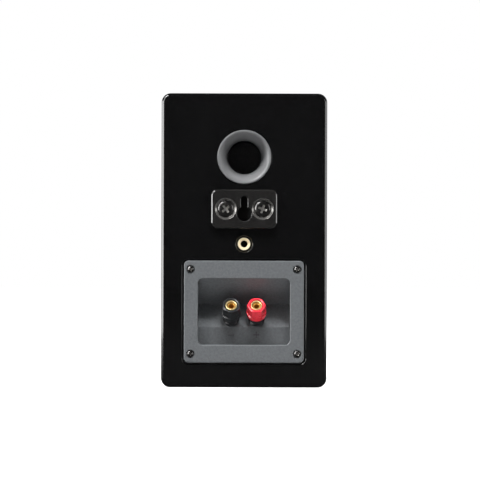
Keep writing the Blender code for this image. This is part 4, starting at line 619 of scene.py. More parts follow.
def cross(reach, half):
    """A plus sign with eased corners: three points of one arm, turned four times."""
    corner = np.array([(reach, -half), (reach, half), (half, half)])
    angles = np.arange(4) * np.pi / 2
    turns = [np.array([[math.cos(t), math.sin(t)], [-math.sin(t), math.cos(t)]]) for t in angles]
    return eased(np.concatenate([corner @ turn for turn in turns]), half * 0.35, 3, True)


def screw(radius, height, shank, length, spin, count):
    """A domed head with a tapered cross recess. Patches about the origin, the head towards +Y."""
    rim = radius * 0.93
    crown = round_outline(0, 0, rim, count)()
    rings = np.concatenate([round_outline(0, 0, radius * share, 40)() for share in (0.8, 0.66, 0.62)])
    mouth, foot = cross(radius * 0.54, radius * 0.13), cross(radius * 0.36, radius * 0.09)
    edge = dome(np.array([[rim, 0]]), radius, height)[0]
    side = [(rim, edge), (radius, edge - radius * 0.05), (radius, 0), (shank, 0), (shank, -length)]
    side = eased(side, height * 0.2, 3)
    floor = height * 0.22
    y = lambda at: dome(at, radius, height)
    bite = [raised(mouth, y(mouth)), raised(mouth * 0.94, y(mouth) - height * 0.12), raised(foot, floor)]
    parts = [
        plate(crown, [mouth], y, 0, rings),
        band(bite, 1),
        plate(foot, [], floor, 1),
        band([raised(crown / rim * r, h) for r, h in side]),
        plate(crown / rim * shank, [], -length),
    ]
    c, s = math.cos(spin), math.sin(spin)
    turn = np.array([[c, 0, s], [0, 1, 0], [-s, 0, c]])
    return [(points @ turn, faces, number) for points, faces, number in parts]


def moved(patches, at, forwards=False):
    """Patches moved to a point, and turned to face the front if forwards."""
    way = np.array([-1, -1, 1]) if forwards else np.ones(3)
    return [(points * way + np.asarray(at, float), faces, number) for points, faces, number in patches]


def bolt(name, node, y, size, spin, count=40, forwards=False):
    """The piece for a CAD screw: size is (head radius, head height, shank radius, length)."""
    at = centre(node)
    parts = moved(screw(*size, spin, count), (at.x, y, at.z), forwards)
    piece(name, "cabinet", "black_metal", parts, black_zinc(), [node])


# Bracket and insert

def make_bracket(edge, colour):
    """The keyhole plate, with dished screw seats, and its two screws."""
    depth, head, sink = 0.004, 0.0064, 0.0079
    plan = box_outline(0, BRACKET.z, 0.0497, 0.0293, 0.0045, 10)
    a = np.linspace(0, np.pi / 2, 8)
    over = [(edge * (math.cos(t) - 1), REAR + depth - edge * (1 - math.sin(t))) for t in a]
    under = [(-0.0003, REAR + GAP), (0, REAR + 2 * GAP)]
    hole = keyhole_outline(0, BRACKET.z - 0.0038, 0.0053, 0.0046, 0.0133)
    sides = ("left", "right")
    seats = [round_outline(centre(f"bracket_screw_{side}").x, BRACKET.z, sink, 72) for side in sides]
    top, bore = REAR + depth, 0.0024 - sink
    dish = [(0.0003, 0.0), (0, 0), (head - sink, -0.0015), (head - sink, -0.0025), (bore, -0.0025)]
    dish = eased(dish, 0.0003)
    patches = [
        sweep(plan, [*under, *over]),
        plate(plan(-edge), [hole(0.0007), *[seat(dish[0][0]) for seat in seats]], top),
        sweep(hole, [(0.0007, top), (0.0006, top - 0.00006), (0, top - 0.0007), (0, REAR + GAP)]),
        plate(plan(-0.0003), [hole(), *[seat(bore) for seat in seats]], REAR + GAP),
    ]
    for seat in seats:
        patches.append(sweep(seat, [*[(g, top + y) for g, y in dish], (bore, REAR + GAP)], 1))
    steel = black_steel(colour)
    worn = finish("Worn seat", (0.24, 0.235, 0.225), 0.22, 0.8, (1800, 0.006, 0.4), (90, 0.2), 0.1)
    piece("keyhole_bracket", "cabinet", "black_metal", patches, [steel, worn], ["keyhole_bracket"],
          weighted=True)
    for side, spin in zip(sides, (0.35, 0.9)):
        bolt(f"bracket_bolt_{side}", f"bracket_screw_{side}", REAR + 0.0015 + GAP,
             (0.0061, 0.0017, 0.0021, 0.012), spin, 56)


def make_insert(pitch, colour):
    """The brass insert. Its bore's radius follows a triangle wave of height less turn: a thread."""
    top, length, outer, major, minor = -0.0004, 0.0115, 0.00475, 0.0032, 0.00262
    t = np.linspace(0, TURN, 64, endpoint=False)
    h = np.linspace(0, length - 0.0006, 110)[:, None]
    phase = (h / pitch + t / TURN) % 1
    crest = np.clip(2.6 * (0.5 - np.abs(phase - 0.5)) - 0.2, 0, 1)
    fade = np.clip(np.minimum(h, length - 0.0006 - h) / 0.0008, 0, 1)
    r = major - (major - minor) * crest * fade
    thread = grid(np.stack([r * np.cos(t), r * np.sin(t), top - 0.0006 - h + 0 * t], -1), 0, (False, True))
    rest = [(major, top - 0.0006), *eased([(major, top - 0.0006), (major + 0.0006, top), (outer, top),
                                           (outer, top - length)], 0.0002)[1:], (major, top - length)]
    brass = finish("Pale brass", colour, 0.40, 0.25, (2200, 0.003, 0.06), (70, 0.1), 0.05,
                   (INSERT, (0, 1, 0), 0.00025, 0.0, 0.0008))
    at = (INSERT.x, REAR, INSERT.z)
    patches = [aimed(thread, at, BACKWARDS), aimed(spun(rest, 64, 0, False), at, BACKWARDS)]
    piece("threaded_insert", "cabinet", "brass", patches, [brass], ["threaded_insert"])


# Terminal cup

def recess_floor(grow, columns=33):
    """The recess's back wall: depth is a line of height z with eased corners, over a rounded
    rectangle. Returns its grid, its edge as a loop, and the loop's outward directions."""
    half_width, half_height, shelf_height, tilt = 0.03475, 0.02505, 0.0135, 35
    half_w, half_h, corner = half_width + grow, half_height + grow, 0.004 + grow
    seat_depth = SEAT_HEIGHT * math.tan(math.radians(tilt))
    shelf_top = shelf_height - half_height + grow * math.tan(math.radians(tilt / 2))
    line = [(-half_h, SHELF_DEPTH + grow), (shelf_top, SHELF_DEPTH + grow),
            (shelf_top + SEAT_HEIGHT, SHELF_DEPTH + seat_depth + grow), (half_h, LIP_DEPTH + grow)]
    line = eased(line, 0.0007, 5)
    arc = (corner - half_h) - corner * np.cos(np.linspace(0, np.pi / 2, 9))
    z = np.unique(np.round(np.concatenate([arc, -arc, line[:, 0], np.linspace(-half_h, half_h, 30)]), 7))
    depth = np.interp(z, line[:, 0], line[:, 1])
    if grow:
        depth = np.maximum(depth, 0.0034)
    beyond = np.maximum(np.abs(z) - (half_h - corner), 0)
    half = half_w - corner + np.sqrt(np.maximum(corner ** 2 - beyond ** 2, 0))
    u = np.linspace(-1, 1, columns)
    points = np.stack([half[:, None] * u, -depth[:, None] + 0 * u, z[:, None] + 0 * u], -1)
    loop = np.concatenate([points[0, :-1], points[:-1, -1], points[-1, :0:-1], points[:0:-1, 0]])
    hub = np.stack([np.clip(loop[:, 0], corner - half_w, half_w - corner),
                    np.clip(loop[:, 2], corner - half_h, half_h - corner)], 1)
    way = loop[:, [0, 2]] - hub
    return points, loop, way / np.linalg.norm(way, axis=1, keepdims=True)


def make_cup(edge, mouth, colour):
    """The terminal cup: a rounded plate round a deep recess with a shelf, a tilted seat and a roof."""
    at = np.array([0, CUP_FACE, CUP.z])
    plan = box_outline(0, 0, CUP_SIZE.x, CUP_SIZE.z, 0.0035, 10)
    thick, wall, well_depth = 0.003, 0.0024, 0.0018
    inside_grid, loop, way = recess_floor(0.0)
    outside_grid, shell, _ = recess_floor(wall)
    a = np.linspace(0, np.pi / 2, 7)
    rows = [loop] + [
        raised(loop[:, [0, 2]] + way * mouth * (1 - math.cos(t)), -mouth * (1 - math.sin(t))) for t in a
    ]
    over = [(edge * (math.cos(t) - 1), -edge * (1 - math.sin(t))) for t in a]
    screws = [centre(f"cup_screw_{corner}") for corner in CUP_CORNERS]
    wells = [round_outline(p.x, p.z - CUP.z, 0.00325, 48) for p in screws]
    well_steps = hole_edge(0.00025, 0, -well_depth)
    patches = [
        grid(inside_grid), band(rows),
        plate(plan(-edge), [rows[-1][:, [0, 2]], *[well(0.00025) for well in wells]], 0.0),
        sweep(plan, [*over[::-1], (0, -thick)]),
        plate(plan(), [shell[:, [0, 2]]], -thick),
        grid(outside_grid), band([shell, raised(shell[:, [0, 2]], -thick)]),
    ]
    for well in wells:
        patches += [sweep(well, well_steps), plate(well(), [], -well_depth)]
    for x in (-0.03075, 0.03075):
        pin = [(0, -0.0308), (0.003, -0.0308), (0.003, -0.027), (0, -0.027)]
        patches.append(aimed(spun(pin, 24, 0, False), (x, 0, 0.00545), BACKWARDS))
    skin = finish("Cup moulding", colour, 0.36, grain=(2600, 0.022, 0.22), smudge=(22, 0.10), dusty=0.25,
                  shader={"Specular IOR Level": 0.5})
    piece("terminal_cup_moulding", "cabinet", "cup_plastic", moved(patches, at), [skin], ["terminal_cup"],
          weighted=True)
    dark = finish("Dark marks", (0.070, 0.073, 0.078), 0.5, grain=(2600, 0.01, 0.3))
    marks = []
    for x, arms in ((0.0095, (0,)), (-0.0095, (0, 1))):
        for arm in arms:
            size = (0.0046, 0.0011) if arm == 0 else (0.0011, 0.0046)
            bar = box_outline(x, -0.0176, *size, 0.0004, 3)
            y = -SHELF_DEPTH
            marks += [sweep(bar, [(0, y - 0.0002), (0, y + 0.00022), (-0.00012, y + 0.0003)]),
                      plate(bar(-0.00012), [], y + 0.0003), plate(bar(), [], y - 0.0002)]
    piece("polarity_marks", "cabinet", "black_plastic", moved(marks, at), [dark])
    for number, corner in enumerate(CUP_CORNERS):
        bolt(f"cup_bolt_{corner}", f"cup_screw_{corner}", CUP_FACE - 0.0015,
             (0.0024, 0.0013, 0.0014, 0.0100), 0.4 + 0.9 * number)


# Binding posts

def hexagon(t, flats, soften):
    """Radius of a hexagon with corners on multiples of 60 degrees, its corners softened by a p-norm."""
    sharp = flats / 2 / np.cos(t % (np.pi / 3) - np.pi / 6)
    limit = flats / 2 / math.cos(np.pi / 6) - soften
    return (sharp ** -40.0 + limit ** -40.0) ** (-1 / 40.0)


def knob_patch(base, spin, flats, soften, count=180):
    """Rows of radius over the turn: a round skirt, a hexagon under a cone, a dished face, a bore."""
    top = base + 0.0118
    t = np.linspace(0, TURN, count, endpoint=False)
    six = hexagon(t - spin, flats, soften)
    skirt, bore = 0.0075, 0.0046
    corner = flats / 2 / math.cos(np.pi / 6)
    flat = np.ones(count)
    rows = [(bore * flat, base)]
    rows += [(r * flat, h) for r, h in eased([(bore, base), (skirt, base), (skirt, base + 0.003),
                                              (flats / 2 + 0.0002, base + 0.003)], 0.0006, 5)[1:-1]]
    rows += [(np.minimum(six + 0.00035, skirt - 0.0003), base + 0.0030), (six + 0.0001, base + 0.0031),
             (six, base + 0.0034), (six, base + 0.0070)]
    for drop in (0.0022, 0.0017, 0.0012, 0.0008, 0.0004, 0.0001, 0.0):
        cone = corner - 0.0012 + 0.0007 * drop / 0.0012 + 0.0002 * (1 - math.exp(-drop / 0.0002))
        rows.append((np.minimum(six, cone) - 0.00035 * max(0.0, 1 - drop / 0.0004), top - drop))
    face = np.minimum(six, corner - 0.0012)
    for share, drop in ((0.93, 0.0), (0.86, 0.0001), (0.80, 0.0003)):
        rows.append((face * share * 0.5 + (corner - 0.0012) * share * 0.5, top - drop))
    rows += [((bore + 0.0004) * flat, top - 0.0005), (bore * flat, top - 0.0009)]
    r = np.stack([row[0] for row in rows])
    h = np.array([row[1] for row in rows])[:, None]
    return grid(np.stack([r * np.cos(t), r * np.sin(t), h + 0 * t], -1), 0, (True, True))


def make_posts(flats, soften, red, black):
    """Both binding posts: stud, collar, washer, core and a hexagonal knob, on a tilted axis."""
    finishes = {
        "red": finish("Red moulding", red, 0.26, grain=(1400, 0.006, 0.10), smudge=(60, 0.12), dusty=0.12,
                      shader={"Coat Weight": 0.35, "Coat Roughness": 0.12}),
        "black": finish("Black moulding", black, 0.30, grain=(1600, 0.012, 0.20), smudge=(60, 0.15),
                        dusty=0.25),
    }
    for colour in ("black", "red"):
        foot = np.array(centre(f"{colour}_post_washer")) - 0.00745 * POST_AXIS
        body = f"{colour}_knob_group"
        # The stud's gold is the plating's colour made darker and more orange: painted shade for its socket,
        # deep inside the knob.
        gold = gold_plate(f"Gold plate, {colour} post", foot, POST_AXIS, 0.0008, colour=(0.80, 0.45, 0.10))
        faced = gold_plate(f"Faced gold, {colour} post", foot, POST_AXIS, 0.00022, 0.0)

        def turned(name, rides, slot, line, easing, skin, node):
            """A closed profile about the post's axis, as a piece."""
            patch = spun(eased(line, easing, 3, True), 64)
            piece(name, rides, slot, [aimed(patch, foot, POST_AXIS)], [skin], [node])

        bore, base, top = 0.0033, 0.0082, 0.0200
        collar = [(bore, 0.0003), (0.0062, 0.0003), (0.0062, 0.0016), (0.0052, 0.0024), (0.0052, 0.0067),
                  (bore, 0.0067)]
        turned(f"{colour}_collar", "cabinet", "black_plastic", collar, 0.0003, finishes["black"],
               f"{colour}_post_collar")
        washer = [(bore, 0.0070), (0.0055, 0.0070), (0.0055, 0.0079), (bore, 0.0079)]
        turned(f"{colour}_clamp_washer", f"{colour}_washer", "gold", washer, 0.0002, faced,
               f"{colour}_post_washer")
        core = [(bore, base + GAP), (0.0043, base + GAP), (0.0043, top - GAP), (bore, top - GAP)]
        turned(f"{colour}_core", body, "gold", core, 0.0003, faced, f"{colour}_knob_core")
        tip, tail, socket = 0.0186, -0.012, 0.00205
        h = np.linspace(-0.0115, 0.0178, 241)
        threads = np.stack([0.0030 - 0.00018 * np.abs(((h / 0.0008) % 1) * 2 - 1), h], 1)
        stud = [(0, tail), (0.0027, tail), *threads, (0.0029, tip - 0.0002), (0.0027, tip),
                (socket + 0.0003, tip), (socket, tip - 0.0003), (socket, 0.0064), (0, 0.0054)]
        patch = aimed(spun(stud, 64, 0, False), foot, POST_AXIS)
        piece(f"{colour}_stud", "cabinet", "gold", [patch], [gold], [f"{colour}_post_stud"])
        spin = np.pi / 6 if colour == "black" else 0.0
        knob = aimed(knob_patch(base, spin, flats, soften), foot, POST_AXIS)
        piece(f"{colour}_hex_knob", body, f"{colour}_plastic", [knob], [finishes[colour]], [f"{colour}_knob"],
              sharp=50)


# Drivers. Heights run outwards from the baffle's face.

def spun_front(lines, at, count=128):
    """Profiles spun about a driver's axis. Each is (points, closed)."""
    return [aimed(spun(line, count, 0, closed), (0, FRONT, at.z), FORWARDS) for line, closed in lines]


def radial_blend(made):
    """Bakes the piece's placement into its mesh and reads its points; nothing more is done with them."""
    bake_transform(made)
    points = np.empty(len(made.data.vertices) * 3, np.float32)
    made.data.vertices.foreach_get("co", points)
    points = points.reshape(-1, 3)


CONE_EDGE, CONE_NECK = 0.0392, 0.0132


def cone_depth(radius):
    """A straight flank from edge to neck, less a bow that is a half sine of the share between them."""
    share = (CONE_EDGE - radius) / (CONE_EDGE - CONE_NECK)
    return 0.0023 + 0.0222 * share - 0.0016 * np.sin(np.pi * share)


def make_woofer(roll, ribs, cone_colour):
    """Basket, half-roll surround, spider, ribbed cone and dust cap, and the flange's screws."""
    steel = bpy.data.materials["Black painted steel"]
    flange = eased([(0.046, -0.0037), (0.056, -0.0037), (0.056, 0), (0.0496, 0), (0.0496, -0.002),
                    (0.046, -0.002)], 0.0006, 4, True)
    floor = eased([(0.0367, -0.029), (0.0367, -0.036), (0.0153, -0.036), (0.0153, -0.034), (0.0305, -0.034),
                   (0.0305, -0.029)], 0.0003, 2, True)
    patches = spun_front([(flange, True), (floor, True)], WOOFER, 160)
    section = [(0.0462, -0.0032), (0.0481, -0.0032), (0.0366, -0.0295), (0.0346, -0.0295)]
    section = eased(section, 0.0005, 2, True)
    for leg in range(6):
        t = np.radians(leg * 60 + np.linspace(-11, 11, 9))[:, None]
        r, h = section[:, 0], section[:, 1]
        points = np.stack([r * np.cos(t), r * np.sin(t), h + 0 * t], -1)
        ends = [np.repeat(end.mean(0, keepdims=True), len(section), 0) for end in (points[0], points[-1])]
        patches.append(aimed(grid(np.concatenate([ends[:1], points, ends[1:]]), 0, (False, True)),
                             (0, FRONT, WOOFER.z), FORWARDS))
    piece("woofer_frame", "cabinet", "black_metal", patches, [steel], ["woofer_basket"])
    a = np.linspace(0, np.pi, 33)
    front = np.stack([0.0429 + 0.0034 * np.cos(a), roll * np.sin(a) - 0.001], 1)
    rear = np.stack([0.0429 + 0.0027 * np.cos(a), roll * np.sin(a) - 0.0017], 1)[::-1]
    lips = [[(0.0493, -0.0017), (0.0493, -0.001), (0.0466, -0.001)], [(0.0369, -0.001), (0.0369, -0.0017)]]
    line = np.concatenate([lips[0], front, lips[1], rear])
    rubber = finish("Butyl rubber", (0.016, 0.016, 0.017), 0.46, grain=(1200, 0.008, 0.2), smudge=(35, 0.2),
                    dusty=0.5, rings=((0, FRONT, WOOFER.z), FORWARDS, 0.0009, 0.0, 0.002))
    made = piece("woofer_roll", None, "rubber", spun_front([(line, True)], WOOFER, 160), [rubber],
                 ["woofer_surround"])
    radial_blend(made)
    r = np.linspace(0.0135, 0.0342, 90)
    share = (r - 0.0135) / 0.0207
    wave = -0.0272 + 0.0007 * np.sin(share * TURN * 5) * np.sin(share * np.pi)
    line = np.concatenate([np.stack([r, wave], 1), np.stack([r, wave - 0.0005], 1)[::-1]])
    woven = finish("Woven spider", (0.50, 0.36, 0.13), 0.85, grain=(1800, 0.05, 0.3))
    made = piece("woofer_damper", None, "spider", spun_front([(line, True)], WOOFER, 96), [woven],
                 ["woofer_spider"])
    radial_blend(made)
    r = np.linspace(CONE_EDGE, CONE_NECK, 80)
    cap_radius, ribbed = 0.0165, 0.0227
    wave = np.sin((r - cap_radius) / ribbed * TURN * ribs) ** 2 * (r > cap_radius)
    front = -cone_depth(r) + 0.00012 * wave
    line = np.concatenate([np.stack([r, front], 1), np.stack([r, -cone_depth(r) - 0.0007], 1)[::-1]])
    paper = finish("Coated cone", cone_colour, 0.34, grain=(800, 0.012, 0.45), smudge=(14, 0.16), dusty=0.3,
                   shader={"Coat Weight": 0.25, "Coat Roughness": 0.2})
    piece("woofer_ribbed_cone", "woofer_cone_group", "cone", spun_front([(line, True)], WOOFER, 160),
          [paper], ["woofer_cone"])
    a = np.linspace(0, np.pi / 2, 25)
    foot = cone_depth(cap_radius) - 0.001
    cap = np.stack([cap_radius * np.sin(a), 0.0048 * np.cos(a) ** 1.5 - foot], 1)
    line = np.concatenate([cap, (cap - (0, 0.0007))[::-1]])
    piece("woofer_cap", "woofer_cone_group", "cone", spun_front([(line, False)], WOOFER, 96), [paper],
          ["woofer_dust_cap"])
    for number in range(1, 5):
        bolt(f"woofer_bolt_{number}", f"woofer_screw_{number}", FRONT - GAP,
             (0.0027, 0.0016, 0.0014, 0.0136), 0.5 * number, forwards=True)


def bar(start, end, width, section):
    """A section outline (across, out) carried from one radius to another, capped at both ends."""
    rows = np.array([start, start, end, end])
    swell = np.array([0, 1, 1, 0])
    points = np.stack([rows[:, None] + 0 * section[:, 0], swell[:, None] * section[:, 0] * width,
                       section[:, 1].mean() + swell[:, None] * (section[:, 1] - section[:, 1].mean())], -1)
    return grid(points, 0, (False, True))


def make_tweeter(dome_height, dome_colour, plate_colour):
    """Faceplate with a shallow horn, domed diaphragm on its roll, diffuser and screws."""
    skin = finish("Faceplate moulding", plate_colour, 0.38, grain=(1700, 0.012, 0.2), smudge=(25, 0.15),
                  dusty=0.3)
    places = [centre(f"tweeter_screw_{number}") for number in (1, 2, 3)]
    rim, mouth = round_outline(0, TWEETER.z, 0.0388, 128), round_outline(0, TWEETER.z, 0.024, 128)
    share = np.linspace(1, 0, 28)
    horn = np.stack([0.024 - 0.0089 * share, -0.0045 * share ** 1.8], 1)
    behind = [(0.0388, -0.0), (0.039, -0.0003), (0.039, -0.0037), (0.025, -0.0037), (0.025, -0.0057),
              (0.0151, -0.0057), (0.0151, -0.0045)]
    patches = spun_front([(behind, False), (horn, False)], TWEETER, 128)
    wells = [round_outline(at.x, at.z, 0.0027, 40) for at in places]
    patches.append(plate(rim(), [mouth(), *[well(0.0002) for well in wells]], FRONT))
    for well in wells:
        patches += [sweep(well, [(0.0002, FRONT), (0, FRONT + 0.0002), (0, FRONT + 0.0018)]),
                    plate(well(), [], FRONT + 0.0018)]
    piece("tweeter_horn", "cabinet", "black_plastic", patches, [skin], ["tweeter_faceplate"], weighted=True)
    a = np.linspace(0, np.pi / 2, 25)
    front = np.stack([0.0127 * np.sin(a), dome_height * np.cos(a) - 0.0064], 1)
    rear = np.stack([0.0123 * np.sin(a), dome_height * np.cos(a) - 0.0068], 1)[::-1]
    line = np.concatenate([front, [(0.0127, -0.0119), (0.0123, -0.0119)], rear])
    foil = finish("Anodised dome", dome_colour, 0.26, 1.0, (1500, 0.003, 0.06), (50, 0.1), 0.15)
    piece("tweeter_cap", "tweeter_dome_group", "dome", spun_front([(line, False)], TWEETER, 96), [foil],
          ["tweeter_dome"])
    a = np.linspace(np.pi, 0, 17)
    arch = np.stack([0.0139 + 0.0009 * np.cos(a), 0.00081 * np.sin(a) - 0.006], 1)
    line = np.concatenate([arch, [(0.0188, -0.006), (0.0188, -0.0065), (0.013, -0.0065)]])
    rubber = finish("Silk roll", (0.02, 0.02, 0.021), 0.6, grain=(2500, 0.02, 0.3))
    made = piece("tweeter_roll", None, "rubber", spun_front([(line, True)], TWEETER, 96), [rubber],
                 ["tweeter_surround"])
    radial_blend(made)
    disc = eased([(0, 0.0014), (0.005, 0.0014), (0.005, 0.0002), (0, 0.0002)], 0.0004, 4)
    patches = spun_front([(disc, False)], TWEETER, 64)
    section = eased([(0.5, 0.00118), (-0.5, 0.00118), (-0.5, 0.0003), (0.5, 0.0003)], 0.0003, 3, True)
    for angle in (-90, 30, 150):
        points, faces, number = bar(0.003, 0.027, 0.0014, section)
        c, s = math.cos(math.radians(angle)), math.sin(math.radians(angle))
        turned_bar = points @ np.array([[c, s, 0], [-s, c, 0], [0, 0, 1]])
        patches.append(aimed((turned_bar, faces, number), (0, FRONT, TWEETER.z), FORWARDS))
    piece("tweeter_spider_guard", "cabinet", "black_plastic", patches, [skin], ["tweeter_diffuser"])
    for number in (1, 2, 3):
        bolt(f"tweeter_bolt_{number}", f"tweeter_screw_{number}", FRONT + 0.0015,
             (0.0024, 0.0013, 0.0014, 0.0118), 0.7 * number, forwards=True)


# Grille

def make_grille(pitch, cloth_colour):
    """The frame with its bar, corner gussets and pegs, and the cloth stretched over it."""
    roll, rim, bar_z, half_bar = 0.0015, 0.0055, 0.1255, 0.003
    outer = box_outline(0, MIDDLE, WIDTH - 2 * FRAME_INSET, HEIGHT - 2 * FRAME_INSET, 0.0043, 8)
    rear, front = FRONT - GAP, low("grille_cloth").y + 0.001
    a = np.linspace(0, np.pi / 2, 6)
    over = [(roll * (math.cos(t) - 1), front + roll * (1 - math.sin(t))) for t in a]
    wide = WIDTH - 2 * (FRAME_INSET + rim)
    base, top = FRAME_INSET + rim, HEIGHT - FRAME_INSET - rim
    windows = [box_outline(0, (z + end) / 2, wide, end - z, 0.020, 10)
               for z, end in ((base, bar_z - half_bar), (bar_z + half_bar, top))]
    patches = [
        sweep(outer, [(0, rear), *over]),
        plate(outer(-roll), [w(0.0006) for w in windows], front),
        plate(outer(), [w(0.0006) for w in windows], rear),
    ]
    for w in windows:
        patches.append(sweep(w, [(0.0006, rear), (0, rear - 0.0006), (0, front + 0.0006), (0.0006, front)]))
    peg = eased([(0, -0.001), (0.0033, -0.001), (0.0033, 0.008), (0.0, 0.008)], 0.001, 4)
    patches += [aimed(spun(peg, 32, 0, False), (x, FRONT, z), BACKWARDS) for x, z in PEGS]
    skin = finish("Frame moulding", (0.018, 0.018, 0.019), 0.5, grain=(1800, 0.02, 0.25), dusty=0.3)
    piece("grille_moulding", "grille", "black_plastic", patches, [skin], ["grille_frame"], weighted=True)
    plan = box_outline(0, MIDDLE, WIDTH - 2 * CLOTH_INSET, HEIGHT - 2 * CLOTH_INSET, 0.005, 8)
    face = low("grille_cloth").y
    skins = []
    for inset in (0.0, 0.0006):
        steps = [(-inset, rear)]
        for t in a:
            grow = roll * (math.cos(t) - 1) - inset * math.cos(t)
            steps.append((grow, face + inset + (roll - inset) * (1 - math.sin(t))))
        skins.append([raised(plan(grow), y) for grow, y in steps])
    cloth = [band([*skins[1][::-1], *skins[0]])]
    for each in skins:
        rim = each[-1][:, [0, 2]]
        cloth.append(plate(rim, [], each[-1][0, 1]))
    stuff = finish("Grille cloth", cloth_colour, 0.9, grain=(2200, 0.02, 0.3), dusty=0.6,
                   shader={"Sheen Weight": 0.25, "Sheen Roughness": 0.5})
    made = piece("grille_cloth_skin", "grille", "cloth", cloth, [stuff], ["grille_cloth"], weighted=True)
    unrolled(made, face)
    tree = stuff.node_tree
    place = put(tree, "ShaderNodeUVMap", (), {"uv_map": "Cloth"}).outputs[0]
    threads = put(tree, "ShaderNodeGroup", (), {"node_tree": weave()}, Vector=place, Pitch=pitch)
    tree.links.new(maths(tree, "MULTIPLY_ADD", threads.outputs["Cover"], 0.45, 0.55),
                   tree.nodes["Principled BSDF"].inputs["Alpha"])
    bump = [node for node in tree.nodes if node.type == "BUMP"][0]
    bump.inputs["Distance"].default_value = 0.0002
    tree.links.new(threads.outputs["Height"], bump.inputs["Height"])


def unrolled(made, face):
    """A UV map in metres: a front point's own (x, z), and a side point's moved out by its depth."""
    mesh = made.data
    points = np.empty(len(mesh.vertices) * 3, np.float32)
    mesh.vertices.foreach_get("co", points)
    points = points.reshape(-1, 3)
    plan = points[:, [0, 2]] - (0, MIDDLE)
    corner = 0.0095
    half = np.array([WIDTH / 2 - corner, MIDDLE - corner])
    way = plan - np.clip(plan, -half, half)
    way /= np.maximum(np.linalg.norm(way, axis=1, keepdims=True), 1e-9)
    flat = plan + way * (points[:, 1:2] - face)
    corners = np.empty(len(mesh.loops), np.int32)
    mesh.loops.foreach_get("vertex_index", corners)
    mesh.uv_layers.new(name="Cloth").data.foreach_set("uv", flat[corners].astype(np.float32).ravel())


# Inside

def make_wadding(thick, rows):
    """The padded liner: a U-shaped outline carried along Y, dimpled by crossed sine waves."""
    lo, hi = low("wadding"), high("wadding")
    outer, rise = hi.x, hi.z - lo.z
    inner = outer - thick
    line = [(-outer, 0), (-inner, 0), (-inner, rise - thick), (inner, rise - thick), (inner, 0), (outer, 0),
            (outer, rise), (-outer, rise)]
    line = eased(line, 0.004, 5, True)
    line = np.concatenate([np.linspace(p, q, 6)[:-1] for p, q in zip(line, np.roll(line, -1, 0))])
    y = np.linspace(lo.y, hi.y, rows)[:, None]
    dimple = 0.0009 * np.sin(line[:, 0] * 260 + y * 190) * np.sin(line[:, 1] * 230 - y * 170) - 0.0011
    hub = np.stack([np.clip(line[:, 0], -inner - thick / 2, inner + thick / 2),
                    np.clip(line[:, 1], 0.006, rise - thick / 2)], 1)
    way = (line - hub) / np.maximum(np.linalg.norm(line - hub, axis=1, keepdims=True), 1e-9)
    x, z = line[:, 0] + way[:, 0] * dimple, lo.z + line[:, 1] + way[:, 1] * dimple
    points = np.stack([x, y + 0 * x, z], -1)
    ends = [(points[0][:, [0, 2]], lo.y), (points[-1][:, [0, 2]], hi.y)]
    fibre = finish("Polyester wadding", (0.78, 0.78, 0.75), 0.95, grain=(700, 0.4, 0.15), dusty=0.0,
                   shader={"Sheen Weight": 0.4})
    patches = [grid(points, 0, (False, True)), *[plate(loop, [], at) for loop, at in ends]]
    piece("wadding_liner", "cabinet", "wadding", patches, [fibre], ["wadding"])


def make_inside(winding):
    """Finishes of the hidden pieces: brace, motors, filter board and leads."""
    steel = finish("Plated steel", (0.52, 0.52, 0.53), 0.30, 1.0, (1100, 0.006, 0.15), (40, 0.2), 0.3,
                   ((0, FRONT, WOOFER.z), FORWARDS, 0.0006, 0.0, 0.01))
    ferrite = finish("Sintered ferrite", (0.045, 0.045, 0.048), 0.62, 0.0, (1500, 0.06, 0.4), (30, 0.2), 0.6)
    copper = finish("Enamelled copper", (0.72, 0.26, 0.10), 0.28, 1.0, (900, 0.004, 0.2), (60, 0.1), 0.1,
                    ((0, FRONT, 0), FORWARDS, winding, 1.0, 0.05))
    foam = finish("Closed-cell foam", (0.025, 0.025, 0.026), 0.9, grain=(1600, 0.15, 0.5))
    nickel = finish("Nickelled nut", (0.72, 0.66, 0.50), 0.3, 1.0, (1500, 0.01, 0.15), (90, 0.2), 0.2)
    board = finish("Filter board", (0.025, 0.13, 0.055), 0.42, grain=(500, 0.02, 0.5))
    film = finish("Film capacitor", (0.60, 0.44, 0.06), 0.30, grain=(300, 0.01, 0.1))
    cement = finish("Cement resistor", (0.72, 0.70, 0.66), 0.75, grain=(1300, 0.08, 0.15))
    sleeve = finish("Lead sleeve", (0.03, 0.03, 0.032), 0.45, grain=(1500, 0.02, 0.3))
    dressed = [
        (raw_board(), ["shelf_brace"]),
        (foam, ["cup_gasket"]),
        (nickel, ["black_post_nut", "red_post_nut"]),
        (steel, ["woofer_top_plate", "woofer_yoke", "tweeter_top_plate", "tweeter_yoke"]),
        (ferrite, ["woofer_magnet", "tweeter_magnet"]),
        (copper, ["woofer_voice_coil", "crossover_inductor"]),
        (board, ["crossover_board"]),
        (film, ["crossover_capacitor"]),
        (cement, ["crossover_resistor"]),
        (sleeve, ["woofer_lead", "tweeter_lead", "input_lead"]),
    ]
    for skin, nodes in dressed:
        for node in nodes:
            dress(node, skin)


# Stage

def emitter(name, at, size, power, body=True, gloss=True):
    """A soft rectangular light that faces the cabinet's middle. It lights matt colour where body is
    true, and is mirrored where gloss is true."""
    data = bpy.data.lights.new(name, "AREA")
    data.shape = "RECTANGLE"
    data.size, data.size_y = size
    data.energy = power
    made = bpy.data.objects.new(name, data)
    bpy.context.scene.collection.objects.link(made)
    made.visible_diffuse, made.visible_glossy = body, gloss
    made.location = at
    made.rotation_euler = (Vector((0, 0, MIDDLE)) - Vector(at)).to_track_quat("-Z", "Y").to_euler()


